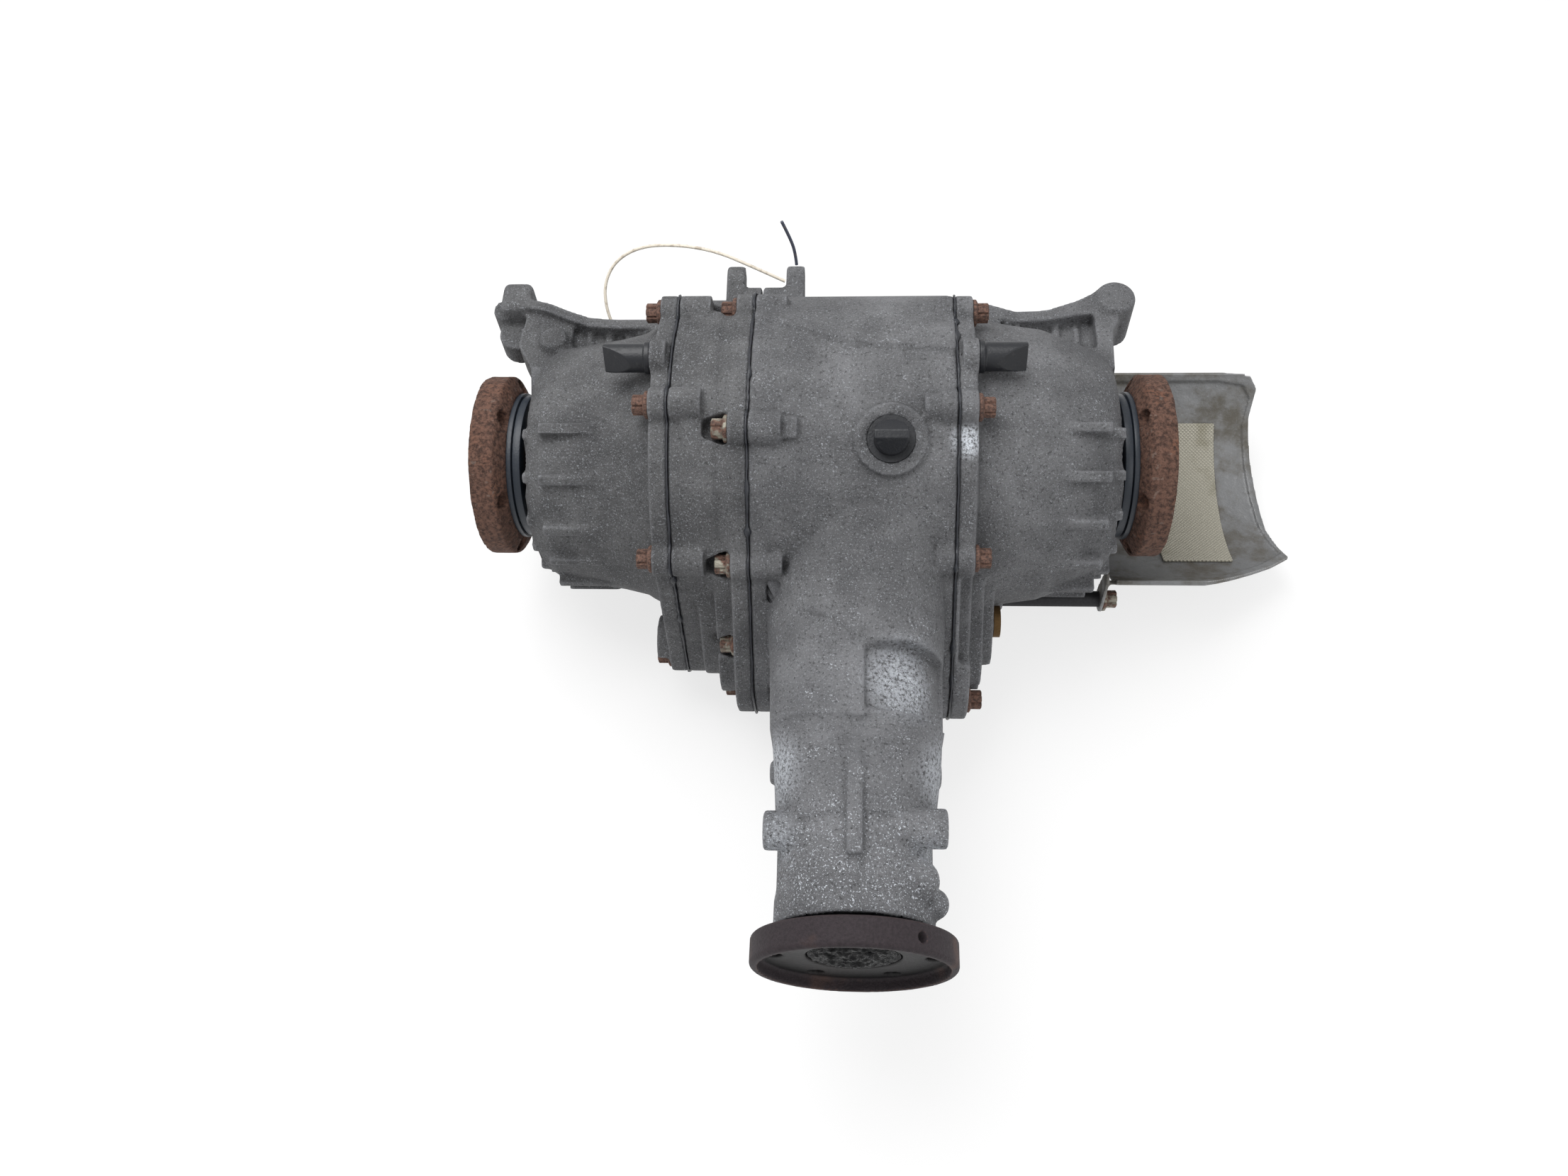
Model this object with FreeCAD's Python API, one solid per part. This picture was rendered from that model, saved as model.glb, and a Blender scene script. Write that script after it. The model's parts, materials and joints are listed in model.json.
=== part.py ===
"""Rear differential with a clutch drum on each side: housings, gears, clutches, flanges.

The part is worked out about the point where the output axis (X) meets the pinion
axis (Y). The nose points towards -Y and the vents are on top, +Z. Each piece is moved
at the end so that the origin is the centre of the input flange's face.
"""
import FreeCAD, Part
import math
import os
from FreeCAD import Vector

# Places along the output axis, from the pinion axis
left_face_x = -224.0
right_face_x = 178.7
left_seam_x = -102.0
middle_seam_x = -59.0
right_seam_x = 53.5
left_end_x = -193.0
right_end_x = 150.0

# Places along the pinion axis, from the output axis
input_face_y = -300.6
nose_end_y = -282.0
nose_boss_y = -236.5
nose_step_y = -184.0
nose_root_y = -142.0
nose_neck_y = -232.0
neck_lip = 0.8
neck_ease = 2.0

# Housings
body_r = 98.0
wall = 7.5
sealant_t = 0.8
sealant_proud = 0.7
flange_t = 10.0
middle_flange_t = 10.0
main_flange_t = 9.0
lobe_beyond = 7.0
lobe_y = -(body_r + lobe_beyond)
lobe_z = -38.0
lobe_r = 38.0
right_lobe_drop = 3.0
left_lobe_inset = 6.0
left_lobe_y = -(body_r - left_lobe_inset)
left_lobe_z = -54.0
left_lobe_r = 19.0
nose_root_r = 47.0
nose_r = 45.2
nose_neck_r = 40.0
nose_bore_r = 31.0
nose_boss_r = 10.0
nose_boss_x = 46.0
nose_left_boss_z = 20.0
nose_right_boss_z = 27.0
ridge_h = 2.0
ridge_outline = ((-37.0, -60.0), (-36.0, -107.8), (-33.8, -117.0), (-29.6, -123.6),
                 (-16.2, -128.3), (-5.6, -133.2), (0.2, -140.5), (1.6, -145.0), (26.0, -141.5),
                 (49.0, -143.0), (53.0, -60.0))
nose_thread_r = 4.25
nose_thread_depth = 11.0

# Bolts through the seams
bolt_r = 4.0
bolt_hole_clear = 0.25
bolt_flange_r = 7.6
bolt_flange_t = 1.8
bolt_head_af = 10.5
bolt_head_t = 6.6
bolt_boss_r = 9.6
thread_boss_r = 7.2
bolt_circle_inset = 1.8
bolt_circle_r = body_r - bolt_circle_inset
bolt_grip = 14.0
pocket_len = 14.0
pocket_end_r = 5.0
left_bolt_angles = (60.0, 105.0, 157.0, 240.0, 285.0, 326.0, 356.0)
middle_bolt_angles = (58.5, 113.0, 159.0, 244.0, 288.0, 322.0, 0.0)
right_bolt_angles = (62.0, 106.0, 156.0, 240.0, 285.0, 322.0, 354.0)

# Rear arms and lugs
slot_w = 9.0
slot_corners = ((-101.9, 38.1), (-134.9, -2.9), (-123.2, -12.3), (-90.2, 28.7))
bar_angle = 113.0
bar_w = 12.0
bar_proud = 3.0
lobe_rib_r = 70.0
rib_w = 6.0
left_rib_angles = (109, 131, 154, 172, 194, 216, 238, 260, 282, 304)
right_rib_angles = (109, 129, 149, 170, 192, 214, 236, 258, 280, 302)
arm_z0 = 20.0
arm_z1 = 50.0
arm_low_z = 45.0
arm_floor_z = 40.0
arm_wall = 7.0
arm_fin_t = 3.0
arm_fin_h = 2.5
ear_thread_r = 5.1
ear_thread_depth = 22.0
left_ear_x = -212.0
left_ear_y = 93.0
left_ear_z1 = 50.5
left_ear_w = 18.6
left_ear_d = 22.0
ear_round = 4.0
right_ear_x = 153.0
right_ear_y = 86.0
right_ear_r = 12.0
lug_xs = (-75.5, -39.0)
lug_t = 11.0
lug_beyond = 8.0
lug_y = body_r + lug_beyond
lug_z = 48.0
lug_r = 8.0
lug_root_r = 14.0
lug_root_y = lug_y - 28.0
lug_root_z = 36.0
lug_face_y = lug_y + 6.5
lug_thread_r = 2.5
lug_thread_depth = 12.0

# Vents
vent_cap_r = 8.0
vent_cap_len = 26.0
vent_y = 5.0
vent_inset = 2.0
vent_z = body_r - vent_inset
vent_twist = 67.0
vent_tip_t = 2.4
vent_nipple_r = 3.2
centre_vent_x = 17.7
centre_vent_angle = 116.5
centre_vent_boss_r = 19.5
centre_boss_proud = 2.5
centre_vent_boss_top = body_r + centre_boss_proud
centre_ring_r = 12.7
centre_ring_t = 4.0
centre_cap_r = 9.3
centre_cap_len = 19.0

# Output flanges, the same on both sides
output_flange_r = 54.0
output_rim_t = 14.0
output_cone_t = 5.0
output_back_r = 45.0
output_pcd = 94.0
output_holes = 6
output_hole_r = 5.0
output_pilot_r = 33.0
output_pilot_depth = 5.0
dust_ring_r = 44.0
dust_ring_t = 8.0
output_hub_r = 21.0
shaft_r = 15.0
output_bearing_r = 36.0
output_bearing_w = 15.0
seal_r = 32.0
seal_w = 8.0

# Input flange
input_flange_r = 51.75
input_rim_t = 14.8
input_pilot_r = 47.6
input_pilot_depth = 6.5
input_pcd = 80.0
input_holes = 6
input_hole_r = 4.25
input_recess_r = 24.0
input_hub_r = 29.0
input_seal_r = 36.0
nut_af = 34.0
nut_t = 8.0

# Final drive gears
ring_teeth = 41
pinion_teeth = 11
drive_module = 4.2
drive_face = 27.0
ring_back_x = -40.0
ring_bore_r = 54.0
ring_bolt_circle_r = 63.0
ring_bolt_count = 8
head_bearing_y = 92.0
head_bearing_w = 22.0
tail_bearing_y = 246.0
tail_bearing_w = 18.0
pinion_stem_r = 17.5
nut_seat_depth = 17.0
nut_seat_y = input_face_y + nut_seat_depth
pinion_head_r = 20.0
pinion_head_bearing_r = 38.0
pinion_tail_r = 17.0
pinion_tail_bearing_r = 33.0
pinion_spline_r = 14.0
pinion_thread_r = 12.0

# Differential gears
side_teeth = 16
spider_teeth = 10
diff_module = 4.0
diff_face = 12.0
side_back = 31.0
cross_pin_r = 8.0
case_r = 50.0
case_cavity_r = 41.4
case_flange_r = 75.0
case_flange_t = 10.0
case_neck_r = 25.0
case_bearing_r = 42.0
case_bearing_w = 18.0
left_bearing_x = -84.0
right_bearing_x = 60.0

# Clutch drums
basket_r = 60.0
basket_t = 4.0
plate_outer_r = 55.6
plate_inner_r = 38.0
plate_t = 2.2
plate_gap = 0.4
plate_pairs = 5
hub_r = 37.4
hub_wall = 5.0
piston_r0 = 44.0
piston_r1 = 58.0
piston_t = 8.0
piston_nose_r = 54.0
piston_play = 1.8
piston_groove_left_x = -176.0
piston_groove_right_x = 138.0
web_lip_t = 2.0
left_basket_x = -112.0
left_basket_len = 50.0
right_basket_x = 84.0
right_basket_len = 40.0

# Heat shield beside the right flange
shield_r = 96.9
shield_t = 1.5
shield_y = 25.5
shield_z = 8.9
shield_x0 = 158.0
shield_x1 = 276.0
shield_half_angle = 56.6
shield_hem_t = 1.6
shield_hem_w = 4.0
shield_corners = ((245.0, 106.4), (261.0, 104.6), (266.0, 99.0), (262.4, 85.0), (263.6, 62.0),
                  (265.4, 42.5), (268.0, 7.3), (272.0, -7.5), (276.0, -17.7), (262.0, -28.0),
                  (245.6, -37.2), (226.8, -47.4), (212.0, -55.6))
pad_x0 = 196.0
pad_x1 = 240.0
pad_t = 2.0
pad_angle0 = -29.7
pad_angle1 = 36.4
standoff_r = 5.0
standoff_x0 = 92.0
standoff_x1 = 152.0
standoffs = ((-51.0, -73.0), (60.0, -66.0))
shield_tab_r = 8.0
shield_tab_t = 2.0

# Plugs
plug_r = 7.0
plug_rim = 2.5
plug_socket_af = 8.0
plug_len = 12.0
plug_head_t = 4.0
plug_boss_r = 13.0
plug_boss_proud = 3.0
plug_boss_reach = body_r + plug_boss_proud
filler_x = 10.0
filler_z = -24.0
level_plug_y = -86.0
level_plug_z = -38.0
level_plug_reach = 27.0

# Clearances
run = 0.05
face_gap = 0.3
origin_shift = Vector(0, -input_face_y, 0)


def cyl_x(r, x0, x1, y=0.0, z=0.0):
    return Part.makeCylinder(r, abs(x1 - x0), Vector(min(x0, x1), y, z), Vector(1, 0, 0))


def cyl_y(r, y0, y1, x=0.0, z=0.0):
    return Part.makeCylinder(r, abs(y1 - y0), Vector(x, min(y0, y1), z), Vector(0, 1, 0))


def box(x0, x1, y0, y1, z0, z1):
    return Part.makeBox(abs(x1 - x0), abs(y1 - y0), abs(z1 - z0),
                        Vector(min(x0, x1), min(y0, y1), min(z0, z1)))


def turn_x(points):
    """A solid turned about X from a closed outline of (x, radius) points."""
    corners = [Vector(x, 0, r) for x, r in points]
    face = Part.Face(Part.makePolygon(corners + corners[:1]))
    return face.revolve(Vector(0, 0, 0), Vector(1, 0, 0), 360)


def turn_y(points):
    """A solid turned about Y from a closed outline of (y, radius) points."""
    corners = [Vector(0, y, r) for y, r in points]
    face = Part.Face(Part.makePolygon(corners + corners[:1]))
    return face.revolve(Vector(0, 0, 0), Vector(0, 1, 0), 360)


def ring_x(r_in, r_out, x0, x1):
    return cyl_x(r_out, x0, x1).cut(cyl_x(r_in, x0, x1))


def ring_y(r_in, r_out, y0, y1):
    return cyl_y(r_out, y0, y1).cut(cyl_y(r_in, y0, y1))


def polar(r, angle):
    """(y, z) at a radius from the output axis, with the angle from +Y towards +Z."""
    a = math.radians(angle)
    return r * math.cos(a), r * math.sin(a)


def spin_x(shape, angle):
    turned = shape.copy()
    turned.rotate(Vector(0, 0, 0), Vector(1, 0, 0), angle)
    return turned


def prism_xy(points, z0, z1):
    corners = [Vector(x, y, z0) for x, y in points]
    face = Part.Face(Part.makePolygon(corners + corners[:1]))
    return face.extrude(Vector(0, 0, z1 - z0))


def hull_prism(r1, cy, cz, r2, x0, x1, oy=0.0, oz=0.0):
    """A plate along X whose outline is a belt round two circles, one of them at (oy, oz)."""
    dy, dz = cy - oy, cz - oz
    base = math.atan2(dz, dy)
    swing = math.acos((r1 - r2) / math.hypot(dy, dz))

    def on(y, z, r, angle):
        return Vector(x0, y + r * math.cos(angle), z + r * math.sin(angle))

    a1, a2 = on(oy, oz, r1, base + swing), on(oy, oz, r1, base - swing)
    b1, b2 = on(cy, cz, r2, base + swing), on(cy, cz, r2, base - swing)
    big = Part.Arc(a1, on(oy, oz, r1, base + math.pi), a2).toShape()
    small = Part.Arc(b2, on(cy, cz, r2, base), b1).toShape()
    wire = Part.Wire([big, Part.makeLine(a2, b2), small, Part.makeLine(b1, a1)])
    return Part.Face(wire).extrude(Vector(x1 - x0, 0, 0))


def fuse_all(first, others):
    """Join pieces and merge their split faces where the merged solid stays sound."""
    joined = first.fuse(list(others))
    merged = joined.removeSplitter()
    return merged if merged.isValid() else joined


def hex_x(across_flats, x0, x1, y, z):
    radius = across_flats / math.sqrt(3.0)
    corners = [Vector(x0, y + radius * math.cos(math.radians(60 * i)),
                      z + radius * math.sin(math.radians(60 * i))) for i in range(7)]
    return Part.Face(Part.makePolygon(corners)).extrude(Vector(x1 - x0, 0, 0))


def seam_bolt(face_x, side, y, z, grip):
    """A flanged hexagon bolt along X. side is +1 where its head lies on the +X side."""
    head = cyl_x(bolt_flange_r, face_x, face_x + side * bolt_flange_t, y, z)
    top = hex_x(bolt_head_af, face_x, face_x + side * (bolt_flange_t + bolt_head_t), y, z)
    shank = cyl_x(bolt_r, face_x, face_x - side * grip, y, z)
    return head.fuse([top, shank]).removeSplitter()


def seam_places(angles, lobes):
    return [polar(bolt_circle_r, a) for a in angles] + list(lobes)


left_lobe_bolt = (left_lobe_y - 8.0, left_lobe_z - 4.0)
middle_lobe_bolts = ((lobe_y - 8.5, lobe_z + 23.0), (lobe_y - 16.0, lobe_z - 20.0))
right_lobe_y = lobe_y - right_lobe_drop
right_lobe_bolt = (right_lobe_y - 26.0, lobe_z - 7.0)
left_places = seam_places(left_bolt_angles, [left_lobe_bolt])
middle_places = seam_places(middle_bolt_angles, middle_lobe_bolts)
right_places = seam_places(right_bolt_angles, [right_lobe_bolt])


def bosses(places, x0, x1, r=bolt_boss_r):
    return [cyl_x(r, x0, x1, y, z) for y, z in places]


def through_holes(places, x0, x1):
    return [cyl_x(bolt_r + bolt_hole_clear, x0, x1, y, z) for y, z in places]


def thread_holes(places, x0, x1):
    return [cyl_x(bolt_r, x0, x1, y, z) for y, z in places]


def rounded_section(y, half_w, half_h, corner, x_mid=0.0):
    """A rounded rectangle across the pinion axis, as one wire."""
    w, h, c = half_w, half_h, corner
    k = c * (1 - math.sqrt(0.5))
    edges = []
    for sx, sz in ((1, 1), (-1, 1), (-1, -1), (1, -1)):
        first = Vector(x_mid + sx * w, y, sz * (h - c))
        middle = Vector(x_mid + sx * (w - k), y, sz * (h - k))
        last = Vector(x_mid + sx * (w - c), y, sz * h)
        ends = (first, last) if sx * sz > 0 else (last, first)
        edges.append((ends[0], middle, ends[1]))
    parts = []
    for i, (a, m, b) in enumerate(edges):
        parts.append(Part.Arc(a, m, b).toShape())
        parts.append(Part.makeLine(b, edges[(i + 1) % 4][0]))
    return Part.Wire(parts)


def radial_bar(x0, x1, angle, width, r0, r1):
    """A straight bar along X standing out of a drum at an angle from +Y."""
    return spin_x(box(x0, x1, r0, r1, -width / 2.0, width / 2.0), angle)


root_places = ((-36.0, 24.0, 86.0, 20.0, 28.0), (-84.0, 44.0, 58.0, 34.0, 6.0),
               (-112.0, 49.5, 50.0, 40.0, -0.5), (nose_root_y, nose_root_r, nose_root_r, 33.0, 0.0))


def root_section(raised, y, half_w, half_h, corner, x_mid):
    """One section of the nose's root: its place, half sizes, corner radius and middle."""
    return rounded_section(y, half_w, half_h + raised, corner, x_mid)


def main_housing():
    x0, x1 = middle_seam_x + sealant_t / 2, right_seam_x - sealant_t / 2
    body = cyl_x(body_r, x0, x1)
    pad_outline = ((x0, 38.0), (-5.0, 14.0), (x1, 8.0), (x1, 98.0), (x0, 98.0))
    pad = prism_xy(pad_outline, 10.0, 104.0).common(cyl_x(body_r + 2.4, x0, x1))
    sections = [root_section(0.0, *place) for place in root_places]
    root = Part.makeLoft(sections, True, True)
    raised_top = [root_section(ridge_h, *place) for place in root_places]
    ridge = Part.makeLoft(raised_top, True, True).common(prism_xy(ridge_outline, 20.0, 110.0))
    shank = [rounded_section(nose_root_y, nose_root_r, nose_root_r, 33.0),
             rounded_section(nose_step_y + 1.0, nose_r + 0.4, nose_r + 1.4, 26.0, 0.7)]
    taper = [rounded_section(nose_step_y + 1.0, nose_r - 0.6, nose_r, 26.0, 0.7),
             rounded_section(nose_step_y - 18.0, nose_r - 1.8, nose_r - 0.8, 32.0, 1.0),
             rounded_section(nose_neck_y, nose_neck_r + neck_lip, nose_neck_r + neck_lip,
                    nose_neck_r - neck_ease)]
    adds = [ridge, Part.makeLoft(shank, True, True), Part.makeLoft(taper, True, True)]
    nose = turn_y([(nose_neck_y + 1.0, 0.0), (nose_neck_y + 1.0, nose_neck_r),
                   (-262.0, nose_neck_r - 0.4), (-268.0, nose_neck_r + 0.6),
                   (nose_end_y, nose_neck_r + 0.6), (nose_end_y, 0.0)])
    flange_left = hull_prism(body_r, lobe_y, lobe_z, lobe_r, x0, x0 + main_flange_t)
    flange_right = hull_prism(body_r, right_lobe_y, lobe_z, lobe_r, x1 - main_flange_t, x1)
    belly = hull_prism(body_r - 4, lobe_y, lobe_z, lobe_r - 10, x0, x1)
    adds += [pad, root, nose, flange_left, flange_right, belly]
    adds += bosses(middle_places, x0, x0 + main_flange_t)
    adds += bosses(right_places, x1 - main_flange_t, x1)
    adds += bosses(middle_places, x0, x0 + bolt_grip + 4)
    adds += bosses(right_places, x1 - bolt_grip - 4, x1, thread_boss_r)
    for side, boss_z in nose_bosses:
        adds.append(cyl_x(nose_boss_r, side * 14.0, side * nose_boss_x, nose_boss_y, boss_z))
        adds.append(cyl_x(6.0, side * 30.0, side * (nose_r + 0.6), -196.0, -6.0))
    adds.append(box(-4.0, 4.0, -255.0, -205.0, 20.0, nose_r + 0.6))
    adds.append(box(-1.2, 1.2, nose_end_y + 1, nose_root_y, 20.0, nose_neck_r + 1.1))
    adds.append(box(-3.0, 4.4, nose_step_y - 1.0, -144.0, 20.0, nose_root_r + 1.4))
    adds.append(Part.makeSphere(11.5, Vector(30.5, -261.0, 20.0)))
    adds.append(Part.makeSphere(8.0, Vector(39.0, -269.5, 10.0)))
    bar = radial_bar(x0, -32.0, bar_angle, bar_w, 80.0, body_r + bar_proud)
    out_y, out_z = polar(1.0, centre_vent_angle)
    boss = Part.makeCylinder(centre_vent_boss_r, centre_vent_boss_top - 70.0,
                             Vector(centre_vent_x, 70.0 * out_y, 70.0 * out_z),
                             Vector(0, out_y, out_z))
    adds += [bar, boss]
    for x in lug_xs[1:]:
        adds.append(rear_lug(x))
    adds.append(lug_ledge(x0, lug_xs[1]))
    adds += [plug_boss(place, out) for place, out in plug_places]
    solid = fuse_all(body, adds)
    bore = body_r - wall
    head_end = -head_bearing_y - head_bearing_w
    seal_seat = -tail_bearing_y - tail_bearing_w - 4.0
    cuts = [cyl_x(bore, x0, x1),
            cyl_y(pinion_head_bearing_r, -70.0, head_end),
            cyl_y(nose_bore_r, head_end, -tail_bearing_y),
            cyl_y(pinion_tail_bearing_r, -tail_bearing_y, seal_seat),
            cyl_y(input_seal_r, seal_seat, nose_end_y)]
    cuts += thread_holes(middle_places, x0, x0 + bolt_grip)
    cuts += thread_holes(right_places, x1 - bolt_grip, x1)
    for side, boss_z in nose_bosses:
        tip = side * nose_boss_x
        cuts.append(cyl_x(nose_thread_r, tip, tip - side * nose_thread_depth,
                          nose_boss_y, boss_z))
    cuts.append(Part.makeCylinder(centre_ring_r + run, centre_ring_t + 1.0,
                                  Vector(centre_vent_x, (centre_vent_boss_top - centre_ring_t) * out_y,
                                         (centre_vent_boss_top - centre_ring_t) * out_z),
                                  Vector(0, out_y, out_z)))
    cuts.append(Part.makeCylinder(vent_nipple_r, 60.0, Vector(centre_vent_x, 70 * out_y, 70 * out_z),
                                  Vector(0, out_y, out_z)))
    recess = prism_xy(((4.4, -145.0), (26.0, -141.5), (48.0, -143.0), (48.0, -183.0), (4.4, -180.5)),
                      8.0, 60.0)
    cuts.append(recess.cut(cyl_y(nose_root_r - 2.2, -200.0, -120.0)))
    cuts += lug_cuts(lug_xs[1])
    for place, out in plug_places:
        cuts += plug_hole(place, out)
    return solid.cut(cuts)


nose_bosses = ((-1, nose_left_boss_z), (1, nose_right_boss_z))
plug_places = ((Vector(filler_x, plug_boss_reach, filler_z), Vector(0, 1, 0)),
               (Vector(0, 0, -plug_boss_reach), Vector(0, 0, -1)))


def plug_boss(place, out):
    """A round boss through the wall, with its flat face at the given place."""
    depth = wall + 2 * plug_boss_proud
    return Part.makeCylinder(plug_boss_r, depth, place - out * depth, out)


def plug_hole(place, out):
    """The plug's hole through the wall, and a flat cut outside the boss for its rim."""
    depth = plug_len + wall
    hole = Part.makeCylinder(plug_r, depth, place - out * depth, out)
    return [hole, Part.makeCylinder(plug_r + plug_rim + face_gap, 3 * wall, place, out)]


def rear_lug(x):
    """A bracket lug on the rear shoulder, with its web running into the housing."""
    return hull_prism(lug_root_r, lug_y, lug_z, lug_r, x - lug_t / 2, x + lug_t / 2,
                      lug_root_y, lug_root_z)


def lug_cuts(x):
    """The lug's flat rear face and the blind thread in it."""
    flat = box(x - lug_t, x + lug_t, lug_face_y, lug_face_y + lug_r, lug_z - lug_r, lug_z + lug_r)
    return [flat, cyl_y(lug_thread_r, lug_face_y - lug_thread_depth, lug_face_y, x, lug_z)]


def lug_ledge(x0, x1):
    return hull_prism(lug_root_r - 2.0, lug_y - 14.0, lug_z - 5.0, lug_r + 1.0, min(x0, x1),
                      max(x0, x1), lug_root_y, lug_root_z)


def intermediate_housing():
    x0, x1 = left_seam_x + sealant_t / 2, middle_seam_x - sealant_t / 2
    body = cyl_x(body_r - 1.0, x0, x1)
    rim = hull_prism(body_r, lobe_y, lobe_z, lobe_r, x1 - middle_flange_t, x1)
    shoulders = [hull_prism(body_r - 1.0, lobe_y + 9.0, lobe_z - 4.0, lobe_r - 16.0,
                            x1 - middle_flange_t - 21.0, x1),
                 hull_prism(body_r - 1.0, lobe_y + 4.0, lobe_z - 4.0, lobe_r - 10.0,
                            x1 - middle_flange_t - 10.5, x1)]
    left_rim = hull_prism(body_r - 0.5, left_lobe_y, left_lobe_z, left_lobe_r, x0, x0 + flange_t)
    band = cyl_x(body_r + 0.6, x0 + 8.0, x1 - middle_flange_t - 8.0)
    adds = [rim, left_rim, band] + shoulders
    adds += bosses(left_places, x0, x0 + bolt_grip + 4)
    adds += bosses(middle_places, x1 - middle_flange_t, x1)
    adds.append(radial_bar(x1 - middle_flange_t, x1, bar_angle, bar_w, 80.0, body_r + bar_proud))
    adds.append(rear_lug(lug_xs[0]))
    adds.append(lug_ledge(lug_xs[0], x1))
    solid = fuse_all(body, adds)
    head_x = x1 - middle_flange_t
    pockets = [Part.makeCone(bolt_flange_r + 1.8, pocket_end_r, pocket_len, Vector(head_x, y, z),
                             Vector(-1, 0, 0)) for y, z in middle_places]
    web_x0, web_x1 = left_bearing_x - web_lip_t, left_bearing_x + case_bearing_w
    cuts = [cyl_x(body_r - wall, web_x1, x1), cyl_x(body_r - wall - 6.0, x0, web_x0),
            cyl_x(case_bearing_r, left_bearing_x, web_x1 + 1.0),
            cyl_x(case_bearing_r - 5.0, web_x0 - 1.0, left_bearing_x)]
    cuts += pockets
    cuts += thread_holes(left_places, x0, x0 + bolt_grip)
    cuts += through_holes(middle_places, head_x, x1)
    cuts += lug_cuts(lug_xs[0])
    return solid.cut(cuts)


def drum_ribs(x0, x1, angles, r):
    return [radial_bar(x0, x1, a, rib_w, 40.0, r) for a in angles]


def left_cover():
    x1 = left_seam_x - sealant_t / 2
    end = left_end_x
    outer = turn_x([(x1, 0.0), (x1, body_r - 0.5), (x1 - flange_t, body_r - 0.5),
                    (x1 - flange_t - 1.0, 86.5), (x1 - 16.0, 84.0), (x1 - 20.0, 82.0),
                    (-126.0, 79.5), (-141.0, 76.0), (-160.0, 73.0), (-178.0, 70.0),
                    (-186.0, 65.0), (end + 2.0, 56.0), (end, 50.0), (end, 0.0)])
    rim = hull_prism(body_r - 0.5, left_lobe_y, left_lobe_z, left_lobe_r, x1 - flange_t, x1)
    lobe = cyl_x(left_lobe_r - 4.0, x1 - 18.0, x1, left_lobe_y, left_lobe_z)
    adds = [rim, lobe]
    adds += bosses(left_places, x1 - flange_t, x1)
    adds += drum_ribs(-178.0, -147.0, left_rib_angles, 76.5)
    adds += drum_ribs(-190.0, -176.0, left_rib_angles, 66.0)
    adds.append(left_arm())
    adds.append(cyl_x(vent_cap_r + 2.0, x1 - flange_t - 1.0, x1 - 2, vent_y, vent_z))
    solid = fuse_all(outer, adds)
    bearing_x0 = end + seal_w
    bearing_x1 = bearing_x0 + output_bearing_w
    boss_r = output_bearing_r + 5.0
    inner = turn_x([(x1, 0.0), (x1, body_r - wall - 7.0), (x1 - 8.0, body_r - wall - 7.0),
                    (x1 - 13.0, 77.0), (x1 - 20.0, 74.0), (-141.0, 69.0), (-164.0, 65.0),
                    (-164.0, piston_r1 + run), (piston_groove_left_x, piston_r1 + run),
                    (piston_groove_left_x, boss_r), (bearing_x1, boss_r), (bearing_x1, 0.0)])
    cuts = [inner, cyl_x(output_bearing_r, bearing_x0, bearing_x1 + 1.0),
            cyl_x(seal_r, end, bearing_x0)]
    cuts += through_holes(left_places, x1 - flange_t - 20.0, x1)
    cuts.append(cyl_x(vent_nipple_r, x1 - flange_t - 1.0, x1 - 2.0, vent_y, vent_z))
    head_x = x1 - flange_t
    cuts += [cyl_x(bolt_flange_r + 1.2, head_x - 14.0, head_x, y, z) for y, z in left_places]
    cuts.append(ear_thread(left_ear_x, left_ear_y))
    return solid.cut(cuts)


def post(r, x, y, z0, z1):
    return Part.makeCylinder(r, z1 - z0, Vector(x, y, z0), Vector(0, 0, 1))


def ear_thread(x, y):
    """A blind thread from the ear's underside."""
    return post(ear_thread_r, x, y, arm_z0 - 1.0, arm_z0 + ear_thread_depth)


def left_arm():
    """The rear arm: a low plate, a wall along its rear, a column and a tower with two lobes."""
    rear = ((-104.0, 78.0), (-114.0, 75.5), (-126.8, 73.7), (-146.0, 73.7), (-163.3, 75.2),
            (-177.7, 81.0), (-190.0, 87.0), (left_ear_x + 8.0, 91.0))
    front = ((left_ear_x + 5.0, 58.0), (-196.0, 38.0), (-188.0, 20.0), (-104.0, 40.0))
    plate = prism_xy(rear + front, arm_z0, arm_low_z)
    inner = tuple((x, y - arm_wall) for x, y in reversed(rear))
    wall_top = prism_xy(rear + inner, arm_z0, arm_z1)
    hollow = ((-118.0, 50.0), (-118.0, 67.0), (-146.0, 66.8), (-163.0, 68.2), (-174.0, 72.6),
              (-174.0, 50.0))
    plate = plate.cut([prism_xy(hollow, arm_floor_z, arm_z1 + 1.0),
                       prism_xy(hollow, arm_z0 - 1.0, arm_z0 + 6.0)])
    fins = arm_fins((-128.0, -140.0, -152.0, -164.0), 70.0)
    tower = box(left_ear_x - left_ear_w / 2, left_ear_x + left_ear_w / 2,
                left_ear_y - left_ear_d / 2, left_ear_y + left_ear_d / 2, arm_z0, left_ear_z1)
    tower = tower.makeFillet(ear_round, tower.Edges)
    foot = box(left_ear_x - 6.0, left_ear_x + 6.0, left_ear_y - 8.0, left_ear_y + 8.0,
               arm_z0, arm_z0 + ear_round)
    lobes = [post(8.0, left_ear_x - 7.5, left_ear_y - 4.0, arm_z0, 42.0),
             post(12.3, left_ear_x + 1.0, 75.5, arm_z0, 36.0)]
    column = post(9.0, -185.0, 60.0, arm_z0, arm_z1)
    column = column.makeFillet(4.0, [column.Edges[0]])
    return plate.fuse(fins + lobes + [wall_top, tower, foot, column])


def arm_fins(xs, reach):
    return [box(x - arm_fin_t / 2, x + arm_fin_t / 2, 50.0, reach, arm_z0 + 2.0,
                arm_floor_z + arm_fin_h) for x in xs]


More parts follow.
